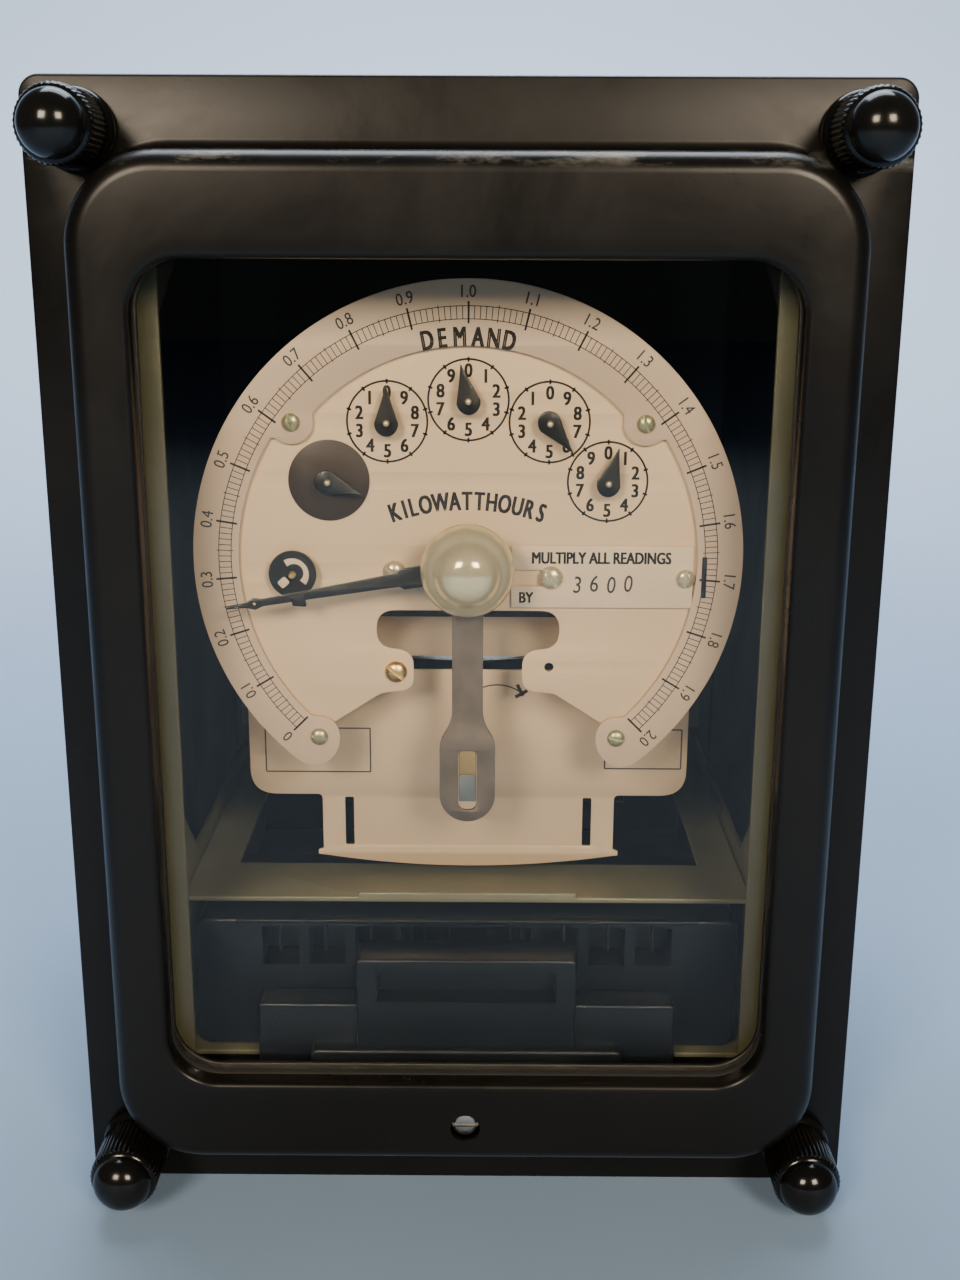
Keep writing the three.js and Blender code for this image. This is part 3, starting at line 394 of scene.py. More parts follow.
def flat_curve(made: bpy.types.Curve) -> Parts:
    """Turns a flat curve or text into arrays, its face towards the front.

    The curve's own x, y, z become x, height and depth towards the front.

    Args:
        made: the curve data, in millimetres.

    Returns:
        The vertices and faces.
    """
    holder = bpy.data.objects.new("outline", made)
    bpy.context.scene.collection.objects.link(holder)
    mesh = bpy.data.meshes.new_from_object(holder.evaluated_get(bpy.context.evaluated_depsgraph_get()))
    flat = np.empty(len(mesh.vertices) * 3)
    mesh.vertices.foreach_get("co", flat)
    x, up, out = flat.reshape(-1, 3).T
    faces = [tuple(polygon.vertices) for polygon in mesh.polygons]
    bpy.data.objects.remove(holder)
    bpy.data.meshes.remove(mesh)
    bpy.data.curves.remove(made)
    return np.stack([x, -out, up], -1), faces


def plate(loops: Sequence[Mesh2D], front: float, thickness: float, bevel: float = 0.1) -> Parts:
    """Flat plate with holes and softened edges.

    Args:
        loops: the outline and its holes.
        front: the depth of the front face.
        thickness: the plate's thickness.
        bevel: the size of the softened edge.

    Returns:
        The vertices and faces.
    """
    curve = bpy.data.curves.new("plate", "CURVE")
    curve.dimensions = "2D"
    curve.fill_mode = "BOTH"
    curve.extrude = thickness / 2 - bevel
    curve.bevel_depth = bevel
    curve.bevel_resolution = 1
    curve.offset = -bevel
    for loop in loops:
        spline = curve.splines.new("POLY")
        spline.points.add(len(loop) - 1)
        place = np.zeros((len(loop), 4))
        place[:, :2] = loop
        place[:, 3] = 1
        spline.points.foreach_set("co", place.ravel())
        spline.use_cyclic_u = True
    points, faces = flat_curve(curve)
    points[:, 1] += front + thickness / 2
    return points, faces


def band(outline: Mesh2D, inner: Mesh2D, front: float) -> Parts:
    """Thin printed band between two closed outlines with the same number of points.

    Args:
        outline: the outer outline.
        inner: the inner outline.
        front: the depth of the plate that it is printed on.

    Returns:
        The vertices and faces of a closed film PRINT thick.
    """
    def ring(flat: Mesh2D, depth: float) -> np.ndarray:
        """Gives an outline a depth."""
        return np.stack([flat[:, 0], np.full(len(flat), depth), flat[:, 1]], -1)

    grid = np.stack([ring(outline, front + PRINT), ring(outline, front - PRINT),
                     ring(inner, front - PRINT), ring(inner, front + PRINT)])
    return skin(grid, ring=True)


def bars(starts: np.ndarray, ends: np.ndarray, width: float, front: float) -> Parts:
    """Straight printed strokes, each a thin box.

    Args:
        starts: x, z of each stroke's start.
        ends: x, z of each stroke's end.
        width: the strokes' width.
        front: the depth of the plate that they are printed on.

    Returns:
        The vertices and faces.
    """
    along = ends - starts
    side = np.stack([-along[:, 1], along[:, 0]], -1)
    side *= width / 2 / np.linalg.norm(along, axis=1)[:, None]
    flat = np.stack([starts - side, ends - side, ends + side, starts + side], 1)
    depth = np.array([front + PRINT, front - PRINT])
    count = len(starts)
    points = np.empty((count, 2, 4, 3))
    points[..., 0] = flat[:, None, :, 0]
    points[..., 1] = depth[None, :, None]
    points[..., 2] = flat[:, None, :, 1]
    box = np.array([[0, 1, 2, 3], [7, 6, 5, 4], [0, 4, 5, 1], [1, 5, 6, 2], [2, 6, 7, 3], [3, 7, 4, 0]])
    faces = (np.arange(count)[:, None, None] * 8 + box).reshape(-1, 4).tolist()
    return points.reshape(-1, 3), faces


def bored(made: bpy.types.Object, cutters: Iterable[Parts], sharp: float = 35.0) -> bpy.types.Object:
    """Cuts holes into a closed piece.

    Args:
        made: the piece.
        cutters: closed front-frame solids, which don't touch each other.
        sharp: edges bent more than this many degrees are shaded sharp.

    Returns:
        The same object with its mesh cut.
    """
    tool = make_object("cutter", together(cutters))
    cut = made.modifiers.new("bore", "BOOLEAN")
    cut.operation = "DIFFERENCE"
    cut.solver = "EXACT"
    cut.object = tool
    mesh = bpy.data.meshes.new_from_object(made.evaluated_get(bpy.context.evaluated_depsgraph_get()))
    made.modifiers.clear()
    made.data = mesh
    mesh.shade_smooth()
    mesh.set_sharp_from_angle(angle=math.radians(sharp))
    bpy.data.objects.remove(tool)
    return made


def rod(radius: float, near: float, far: float, centre: tuple[float, float], columns: int = 32) -> Parts:
    """Plain closed rod along the depth, for cutting and for cores."""
    return turned([[radius, near], [radius, far]], centre, columns)


def brick(low: Sequence[float], high: Sequence[float]) -> Parts:
    """Closed box between two corners, for cutting."""
    corner = np.array([[x, y, z] for x in (low[0], high[0]) for y in (low[1], high[1]) for z in (low[2], high[2])])
    return corner, [(0, 1, 3, 2), (4, 6, 7, 5), (0, 4, 5, 1), (2, 3, 7, 6), (0, 2, 6, 4), (1, 5, 7, 3)]


def soft_block(low: Sequence[float], high: Sequence[float], corner: float, edge: float) -> Parts:
    """Moulded block: a stack of rounded rectangles across the depth, with rounded front and back edges.

    Args:
        low: lowest x, depth and z.
        high: highest x, depth and z.
        corner: the outline's corner radius.
        edge: the radius of the front and back edges.

    Returns:
        The vertices and faces.
    """
    width, height = high[0] - low[0], high[2] - low[2]
    roll = quarter(edge, edge, 3)
    rings = [[width - 2 * (edge - r), height - 2 * (edge - r), max(corner - (edge - r), 0.05), low[1] + edge - rise]
             for r, rise in roll[::-1]]
    rings += [[width - 2 * (edge - r), height - 2 * (edge - r), max(corner - (edge - r), 0.05),
               high[1] - edge + rise]
              for r, rise in roll]
    return skin(stacked(rings, ((low[0] + high[0]) / 2, (low[2] + high[2]) / 2), 4))


# ---------------------------------------------------------------- finishes


FLECK = (0.32, 0.29, 0.25)


def add_node(tree: bpy.types.NodeTree, kind: str, **inputs: object) -> bpy.types.Node:
    """Adds a node and sets its named inputs.

    Args:
        tree: the node tree.
        kind: the node's type.
        inputs: what each input is set to, by its name with underscores for spaces.

    Returns:
        The new node.
    """
    node = tree.nodes.new(kind)
    for key, value in inputs.items():
        node.inputs[key.replace("_", " ")].default_value = value
    return node


def reckon(tree: bpy.types.NodeTree, operation: str, first: bpy.types.NodeSocket,
           second: bpy.types.NodeSocket | float | None = None) -> bpy.types.NodeSocket:
    """Adds one step of arithmetic.

    Args:
        tree: the node tree.
        operation: the Math node's operation.
        first: the socket that feeds its first value.
        second: the socket or the constant for its second value.

    Returns:
        The result's socket.
    """
    node = tree.nodes.new("ShaderNodeMath")
    node.operation = operation
    tree.links.new(first, node.inputs[0])
    if isinstance(second, bpy.types.NodeSocket):
        tree.links.new(second, node.inputs[1])
    elif second is not None:
        node.inputs[1].default_value = second
    return node.outputs[0]


def blend(tree: bpy.types.NodeTree, share: bpy.types.NodeSocket, first: bpy.types.NodeSocket,
          second: bpy.types.NodeSocket | Sequence[float]) -> bpy.types.NodeSocket:
    """Adds a mix of two colours.

    Args:
        tree: the node tree.
        share: the socket that gives the second colour's share.
        first: the first colour's socket.
        second: the second colour's socket, or its red, green and blue.

    Returns:
        The mixed colour's socket.
    """
    node = tree.nodes.new("ShaderNodeMix")
    node.data_type = "RGBA"
    tree.links.new(share, node.inputs[0])
    tree.links.new(first, node.inputs[6])
    if isinstance(second, bpy.types.NodeSocket):
        tree.links.new(second, node.inputs[7])
    else:
        node.inputs[7].default_value = (*second, 1)
    return node.outputs[2]


def surface_group() -> bpy.types.NodeTree:
    """Shared effect: clouded colour, clouded roughness and a fine grain.

    Returns:
        The node group. Colour mixes Base and Tint by soft noise and adds flecks, Roughness runs between
        its two limits by another noise, and Height is fine noise for a bump.
    """
    found = bpy.data.node_groups.get("SurfaceClouds")
    if found:
        return found
    tree = bpy.data.node_groups.new("SurfaceClouds", "ShaderNodeTree")
    for label, kind in (("Coordinates", "Vector"), ("Base", "Color"), ("Tint", "Color"), ("Cloud Scale", "Float"),
                        ("Grain Scale", "Float"), ("Smooth", "Float"), ("Rough", "Float"), ("Flecks", "Float")):
        tree.interface.new_socket(label, in_out="INPUT", socket_type="NodeSocket" + kind)
    for label, kind in (("Colour", "Color"), ("Roughness", "Float"), ("Height", "Float")):
        tree.interface.new_socket(label, in_out="OUTPUT", socket_type="NodeSocket" + kind)
    source, sink = tree.nodes.new("NodeGroupInput"), tree.nodes.new("NodeGroupOutput")
    join = tree.links.new
    clouds = add_node(tree, "ShaderNodeTexNoise", Detail=5.0, Roughness=0.6)
    grain = add_node(tree, "ShaderNodeTexNoise", Detail=3.0, Roughness=0.55)
    smears = add_node(tree, "ShaderNodeTexNoise", Detail=6.0, Roughness=0.7, Distortion=0.6)
    for texture, scale in ((clouds, "Cloud Scale"), (grain, "Grain Scale"), (smears, "Cloud Scale")):
        join(source.outputs["Coordinates"], texture.inputs["Vector"])
        join(source.outputs[scale], texture.inputs["Scale"])
    spread = add_node(tree, "ShaderNodeMapRange", From_Min=0.36, From_Max=0.64)
    join(clouds.outputs[0], spread.inputs[0])
    mixed = blend(tree, spread.outputs[0], source.outputs["Base"], source.outputs["Tint"])
    fleck = add_node(tree, "ShaderNodeMapRange", From_Min=0.62, From_Max=0.74)
    join(grain.outputs[0], fleck.inputs[0])
    amount = reckon(tree, "MULTIPLY", fleck.outputs[0], source.outputs["Flecks"])
    join(blend(tree, amount, mixed, FLECK), sink.inputs["Colour"])
    rough = add_node(tree, "ShaderNodeMapRange", From_Min=0.35, From_Max=0.65)
    join(smears.outputs[0], rough.inputs[0])
    join(source.outputs["Smooth"], rough.inputs[3])
    join(source.outputs["Rough"], rough.inputs[4])
    join(rough.outputs[0], sink.inputs["Roughness"])
    join(grain.outputs[0], sink.inputs["Height"])
    return tree


class Direction(Enum):
    """The axis that a finish's fine lines are stacked along."""

    X = 0
    Y = 1
    Z = 2


@dataclass(frozen=True)
class Finish:
    """A painted, moulded, plated or printed finish, worked out from Object coordinates."""

    name: str
    base: tuple[float, float, float]
    tint: tuple[float, float, float]
    roughness: tuple[float, float] = (0.4, 0.5)
    metallic: float = 0.0
    clouds: float = 30.0
    grain: float = 1500.0
    bump: float = 0.1
    depth: float = 0.0001
    flecks: float = 0.0
    specular: float = 0.5
    lines: Optional[Direction] = None
    pitch: float = 0.5
    line_strength: float = 0.5
    stretch: tuple[float, float, float] = (1.0, 1.0, 1.0)

    def build(self) -> bpy.types.Material:
        """Makes the material once and gives the same one after that.

        Returns:
            The material.
        """
        label = f"{self.name}_finish"
        found = bpy.data.materials.get(label)
        if found:
            return found
        material = bpy.data.materials.new(label)
        material.use_nodes = True
        tree = material.node_tree
        shader = tree.nodes["Principled BSDF"]
        shader.inputs["Metallic"].default_value = self.metallic
        shader.inputs["Specular IOR Level"].default_value = self.specular
        group = tree.nodes.new("ShaderNodeGroup")
        group.node_tree = surface_group()
        for label, value in (("Base", (*self.base, 1)), ("Tint", (*self.tint, 1)), ("Cloud Scale", self.clouds),
                             ("Grain Scale", self.grain), ("Smooth", self.roughness[0]),
                             ("Rough", self.roughness[1]), ("Flecks", self.flecks)):
            group.inputs[label].default_value = value
        place = tree.nodes.new("ShaderNodeTexCoord")
        mapping = add_node(tree, "ShaderNodeMapping", Scale=self.stretch)
        tree.links.new(place.outputs["Object"], mapping.inputs["Vector"])
        tree.links.new(mapping.outputs[0], group.inputs["Coordinates"])
        colour, height = group.outputs["Colour"], group.outputs["Height"]
        if self.lines is not None:
            colour, height = self.ruled(tree, place, colour, height)
        colour = self.worn(tree, place, colour)
        tree.links.new(colour, shader.inputs["Base Color"])
        tree.links.new(group.outputs["Roughness"], shader.inputs["Roughness"])
        bump = add_node(tree, "ShaderNodeBump", Strength=self.bump, Distance=self.depth)
        tree.links.new(height, bump.inputs["Height"])
        tree.links.new(bump.outputs[0], shader.inputs["Normal"])
        return material

    def ruled(self, tree: bpy.types.NodeTree, place: bpy.types.Node, colour: bpy.types.NodeSocket,
              height: bpy.types.NodeSocket) -> tuple[bpy.types.NodeSocket, bpy.types.NodeSocket]:
        """Adds fine parallel lines to the colour and the height, as on a winding or laminations.

        Args:
            tree: the material's node tree.
            place: its texture coordinate node.
            colour: the colour so far.
            height: the height so far.

        Returns:
            The new colour and height.
        """
        wave = tree.nodes.new("ShaderNodeTexWave")
        wave.wave_type = "BANDS"
        wave.bands_direction = self.lines.name
        wave.inputs["Scale"].default_value = math.pi / (10 * self.pitch * MM)
        wave.inputs["Distortion"].default_value = 0.3
        tree.links.new(place.outputs["Object"], wave.inputs["Vector"])
        darker = tree.nodes.new("ShaderNodeMix")
        darker.data_type = "RGBA"
        darker.blend_type = "MULTIPLY"
        darker.inputs[0].default_value = self.line_strength
        tree.links.new(colour, darker.inputs[6])
        tree.links.new(wave.outputs["Color"], darker.inputs[7])
        summed = tree.nodes.new("ShaderNodeMath")
        summed.operation = "MULTIPLY_ADD"
        summed.inputs[1].default_value = 3.0
        tree.links.new(wave.outputs["Fac"], summed.inputs[0])
        tree.links.new(height, summed.inputs[2])
        return darker.outputs[2], summed.outputs[0]

    def worn(self, tree: bpy.types.NodeTree, place: bpy.types.Node,
             colour: bpy.types.NodeSocket) -> bpy.types.NodeSocket:
        """Gives the colour unchanged; a finish with wear or with painted light overrides this."""
        return colour


@dataclass(frozen=True)
class WornPaint(Finish):
    """Paint that is scuffed to a dusty grey along one level edge."""

    edge: float = 0.22
    half_width: float = 0.0022
    scuff: tuple[float, float, float] = (0.16, 0.15, 0.13)

    def worn(self, tree: bpy.types.NodeTree, place: bpy.types.Node,
             colour: bpy.types.NodeSocket) -> bpy.types.NodeSocket:
        """Mixes in scuffs where height is within half_width of the edge and a stretched noise is high.

        Args:
            tree: the material's node tree.
            place: its texture coordinate node.
            colour: the colour so far.

        Returns:
            The colour with its scuffs.
        """
        split = tree.nodes.new("ShaderNodeSeparateXYZ")
        tree.links.new(place.outputs["Object"], split.inputs[0])
        near = reckon(tree, "ABSOLUTE", reckon(tree, "SUBTRACT", split.outputs["Z"], self.edge))
        level = add_node(tree, "ShaderNodeMapRange", From_Min=self.half_width, From_Max=0.0)
        tree.links.new(near, level.inputs[0])
        patches = add_node(tree, "ShaderNodeTexNoise", Scale=120.0, Detail=8.0, Roughness=0.75)
        mapping = add_node(tree, "ShaderNodeMapping", Scale=(0.35, 1, 1))
        tree.links.new(place.outputs["Object"], mapping.inputs["Vector"])
        tree.links.new(mapping.outputs[0], patches.inputs["Vector"])
        chosen = add_node(tree, "ShaderNodeMapRange", From_Min=0.5, From_Max=0.66)
        tree.links.new(patches.outputs[0], chosen.inputs[0])
        both = reckon(tree, "MULTIPLY", level.outputs[0], chosen.outputs[0])
        return blend(tree, both, colour, self.scuff)


@dataclass(frozen=True)
class GradedPaper(Finish):
    """Backdrop paper with painted light: it pales from the near floor to a much brighter far wall."""

    # The far wall's painted light: the pale colour that the paper takes towards its top.
    far: tuple[float, float, float] = (0.68, 0.82, 1.0)

    def worn(self, tree: bpy.types.NodeTree, place: bpy.types.Node,
             colour: bpy.types.NodeSocket) -> bpy.types.NodeSocket:
        """Mixes the near colour into the far one by the sum of depth and height, painting the far wall and its top
        brighter.

        Args:
            tree: the material's node tree.
            place: its texture coordinate node.
            colour: the colour so far.

        Returns:
            The graded colour.
        """
        split = tree.nodes.new("ShaderNodeSeparateXYZ")
        tree.links.new(place.outputs["Object"], split.inputs[0])
        share = add_node(tree, "ShaderNodeMapRange", From_Min=-0.1, From_Max=1.5)
        tree.links.new(reckon(tree, "ADD", split.outputs["Y"], split.outputs["Z"]), share.inputs[0])
        return blend(tree, share.outputs[0], colour, self.far)


@dataclass(frozen=True)
class ClearGlass:
    """Window glass: clear to the eye, and to the light that falls through it."""

    name: str = "window_glass"
    tint: tuple[float, float, float] = (0.93, 0.95, 0.93)
    shadow: float = 0.93

    def build(self) -> bpy.types.Material:
        """Makes the glass: a smooth transmitting shader, with light paths let through as if it were thin air.

        Returns:
            The material.
        """
        material = bpy.data.materials.new(self.name)
        material.use_nodes = True
        tree = material.node_tree
        shader = tree.nodes["Principled BSDF"]
        shader.inputs["Base Color"].default_value = (*self.tint, 1)
        shader.inputs["Transmission Weight"].default_value = 1.0
        shader.inputs["IOR"].default_value = 1.31
        shader.inputs["Metallic"].default_value = 0.0
        place = tree.nodes.new("ShaderNodeTexCoord")
        smear = add_node(tree, "ShaderNodeTexNoise", Scale=14.0, Detail=5.0)
        tree.links.new(place.outputs["Object"], smear.inputs["Vector"])
        film = add_node(tree, "ShaderNodeMapRange", From_Min=0.4, From_Max=0.75, To_Min=0.0, To_Max=0.035)
        tree.links.new(smear.outputs[0], film.inputs[0])
        tree.links.new(film.outputs[0], shader.inputs["Roughness"])
        path = tree.nodes.new("ShaderNodeLightPath")
        either = reckon(tree, "MAXIMUM", path.outputs["Is Shadow Ray"], path.outputs["Is Diffuse Ray"])
        clear = tree.nodes.new("ShaderNodeBsdfTransparent")
        clear.inputs[0].default_value = (self.shadow, self.shadow, self.shadow, 1)
        mix = tree.nodes.new("ShaderNodeMixShader")
        tree.links.new(either, mix.inputs[0])
        tree.links.new(shader.outputs[0], mix.inputs[1])
        tree.links.new(clear.outputs[0], mix.inputs[2])
        tree.links.new(mix.outputs[0], tree.nodes["Material Output"].inputs["Surface"])
        return material


BLACK_PAINT = WornPaint("black_paint", (0.0034, 0.003, 0.0023), (0.0052, 0.0046, 0.0036), (0.26, 0.36), clouds=22,
                        grain=900, bump=0.06, flecks=0.004, specular=0.24)
CASE_PAINT = Finish("case_paint", (0.0036, 0.0033, 0.0028), (0.0055, 0.005, 0.0042), (0.32, 0.44), clouds=18,
                    grain=700, bump=0.08, flecks=0.008, specular=0.3)
MOULDING = Finish("black_moulding", (0.003, 0.0042, 0.0065), (0.0046, 0.0062, 0.009), (0.3, 0.4), clouds=35,
                  grain=1400, bump=0.01, specular=0.25)
DOME_NICKEL = Finish("dome_nickel", (0.8, 0.68, 0.42), (0.7, 0.61, 0.38), (0.08, 0.13), metallic=0.5, clouds=160,
                     grain=2200, bump=0.02)
RETAINER_ZINC = Finish("retainer_zinc", (0.016, 0.0145, 0.013), (0.01, 0.009, 0.008), (0.4, 0.55), metallic=0.3,
                       clouds=140, grain=1600, bump=0.1)
KNOB_MOULDING = Finish("knob_moulding", (0.0032, 0.0032, 0.0028), (0.005, 0.0047, 0.004), (0.12, 0.2), clouds=60,
                       grain=1800, bump=0.03, specular=0.3)
# The rails' greenish paint is a darker copy of the shelf's: painted shade on the cradle's side plates, foot, top
# bar and latch bracket.
SHADED_RAIL_PAINT = Finish("rail_paint", (0.085, 0.082, 0.046), (0.11, 0.105, 0.06), (0.42, 0.55), clouds=24, grain=900,
                    bump=0.08, flecks=0.02, specular=0.35)
SHELF_PAINT = Finish("shelf_paint", (0.155, 0.15, 0.095), (0.125, 0.122, 0.078), (0.38, 0.5), clouds=30, grain=900,
                     bump=0.06)
PLATE_WHITE = Finish("plate_white", (0.74, 0.54, 0.34), (0.7, 0.505, 0.315), (0.45, 0.58), clouds=26, grain=2200,
                     bump=0.05, flecks=0.02, specular=0.35)
# The scale plate's white is a darker, greyer copy of the dial plate's cream: painted shade standing in for the
# shadow over the scale ring.
SHADED_SCALE_WHITE = Finish("scale_white", (0.58, 0.43, 0.3), (0.54, 0.4, 0.275), (0.42, 0.55), clouds=26, grain=2200,
                     bump=0.05, flecks=0.02, specular=0.35)
CARD_WHITE = Finish("card_white", (0.72, 0.56, 0.39), (0.68, 0.53, 0.365), (0.5, 0.6), clouds=60, grain=2600,
                    bump=0.12)
NAMEPLATE = Finish("nameplate_metal", (0.62, 0.46, 0.3), (0.57, 0.42, 0.272), (0.38, 0.5), metallic=0.2,
                   clouds=20, grain=1800, bump=0.06, stretch=(0.25, 1, 1.6))
INK = Finish("printing_ink", (0.004, 0.0036, 0.0033), (0.009, 0.008, 0.007), (0.5, 0.62), clouds=300, grain=3000,
             specular=0.22)
GREY_INK = Finish("grey_ink", (0.03, 0.026, 0.022), (0.045, 0.039, 0.033), (0.5, 0.62), clouds=300, grain=3000,
                  specular=0.25)
DARK_DISC = Finish("dark_disc", (0.022, 0.014, 0.0085), (0.029, 0.019, 0.012), (0.45, 0.55), clouds=70, grain=1500,
                   specular=0.3)
POINTER_BLACK = Finish("pointer_black", (0.003, 0.0029, 0.0027), (0.0055, 0.0052, 0.0047), (0.3, 0.42), clouds=120,
                       grain=2500, bump=0.06, specular=0.35)
RUBBER = Finish("gasket_rubber", (0.012, 0.012, 0.0115), (0.018, 0.018, 0.017), (0.75, 0.9), clouds=60, grain=1200,
                bump=0.25)
NICKEL = Finish("aged_nickel", (0.6, 0.52, 0.34), (0.5, 0.45, 0.3), (0.2, 0.3), metallic=0.5, clouds=160,
                grain=2200, bump=0.04)
SCREW_BRASS = Finish("screw_brass", (0.4, 0.37, 0.22), (0.33, 0.32, 0.2), (0.26, 0.38), metallic=0.6, clouds=260,
                     grain=2600, bump=0.06)
BRASS = Finish("clock_brass", (0.62, 0.43, 0.17), (0.52, 0.36, 0.15), (0.26, 0.4), metallic=1.0, clouds=90,
               grain=2400, bump=0.06, stretch=(1, 1, 4))
TONGUE_BRASS = Finish("tongue_brass", (0.34, 0.24, 0.1), (0.27, 0.19, 0.08), (0.35, 0.45), metallic=0.5, clouds=300,
                      grain=2400)
TONGUE_STEEL = Finish("tongue_steel", (0.15, 0.165, 0.17), (0.12, 0.13, 0.135), (0.35, 0.45), metallic=0.4,
                      clouds=300, grain=2400)
STEEL = Finish("plain_steel", (0.42, 0.42, 0.41), (0.34, 0.335, 0.325), (0.28, 0.42), metallic=1.0, clouds=80,
               grain=2000, bump=0.07)
ZINC = Finish("dull_zinc", (0.155, 0.125, 0.1), (0.11, 0.09, 0.072), (0.42, 0.58), metallic=0.7, clouds=140,
              grain=1600, bump=0.1)
DISK_ALUMINIUM = Finish("disk_aluminium", (0.7, 0.7, 0.69), (0.62, 0.62, 0.61), (0.22, 0.34), metallic=1.0,
                        clouds=60, grain=2400, bump=0.05, stretch=(1, 1, 8))
LAMINATION = Finish("laminated_core", (0.1, 0.1, 0.105), (0.07, 0.07, 0.072), (0.4, 0.6), metallic=0.7,
                    clouds=80, grain=1200, lines=Direction.Y, pitch=0.7, line_strength=0.6, bump=0.3)
WINDING = Finish("enamelled_winding", (0.24, 0.075, 0.03), (0.17, 0.05, 0.02), (0.3, 0.45), metallic=0.35,
                 clouds=90, grain=1400, lines=Direction.Z, pitch=0.55, line_strength=0.65, bump=0.5)
MAGNET = Finish("magnet_casting", (0.2, 0.2, 0.205), (0.14, 0.14, 0.145), (0.45, 0.65), metallic=0.7, clouds=70,
                grain=600, bump=0.3)


def dress(made: bpy.types.Object, finish: Finish | ClearGlass) -> bpy.types.Object:
    """Gives a piece its one material.

    Args:
        made: a new piece or a CAD node's object.
        finish: the finish that it takes.

    Returns:
        The same object.
    """
    material = finish.build()
    if made.material_slots:
        for place in made.material_slots:
            place.material = material
    else:
        made.data.materials.append(material)
    return made


def settle(made: bpy.types.Object, body: str, finish: Finish | ClearGlass,
           stands_for: Sequence[str] = ()) -> bpy.types.Object:
    """Dresses a new piece, sets it riding on its body and reports it.

    Args:
        made: the piece, in place.
        body: the CAD body that it moves with.
        finish: its finish.
        stands_for: the CAD nodes that it replaces.

    Returns:
        The same object.
    """
    dress(made, finish)
    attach(made, body)
    if stands_for:
        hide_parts(*stands_for)
    log.info("%s rides on %s: %d faces, for %s", made.name, body, len(made.data.polygons), list(stands_for))
    return made


def piece(name: str, parts: Parts, body: str, finish: Finish | ClearGlass,
          stands_for: Sequence[str] = ()) -> bpy.types.Object:
    """Makes a new piece from front-frame points and settles it; the other arguments are settle's."""
    return settle(make_object(name, parts), body, finish, stands_for)


def keep(node: str, finish: Finish | ClearGlass) -> None:
    """Keeps a CAD node as it is and gives it a finish."""
    dress(frame["nodes"][node], finish)
    log.info("%s keeps its shape", node)


def eased(node: str, finish: Finish, width: float = 0.3, segments: int = 2,
          angle: float = 40.0) -> bpy.types.Object:
    """Stands a copy of a CAD node, with its sharp edges eased, in the node's place.

    Args:
        node: the CAD node.
        finish: the copy's finish.
        width: the eased edge's width in millimetres.
        segments: the number of faces across the edge.
        angle: edges bent less than this many degrees stay as they are.

    Returns:
        The new piece.
    """
    mesh = frame["nodes"][node].data.copy()
    mesh.materials.clear()
    shape = bmesh.new()
    shape.from_mesh(mesh)
    bmesh.ops.remove_doubles(shape, verts=shape.verts, dist=2e-6)
    bmesh.ops.dissolve_limit(shape, angle_limit=math.radians(0.5), verts=shape.verts, edges=shape.edges)
    bmesh.ops.recalc_face_normals(shape, faces=shape.faces)
    shape.to_mesh(mesh)
    shape.free()
    made = link(f"{node}_eased", mesh, angle)
    bevel = made.modifiers.new("ease", "BEVEL")
    bevel.width = width * MM
    bevel.segments = segments
    bevel.limit_method = "ANGLE"
    bevel.angle_limit = math.radians(angle)
    bevel.use_clamp_overlap = True
    made.data = bpy.data.meshes.new_from_object(made.evaluated_get(bpy.context.evaluated_depsgraph_get()))
    made.modifiers.clear()
    made.data.shade_smooth()
    made.data.set_sharp_from_angle(angle=math.radians(50))
    return settle(made, body_of(node), finish, [node])


# ---------------------------------------------------------------- cover and case


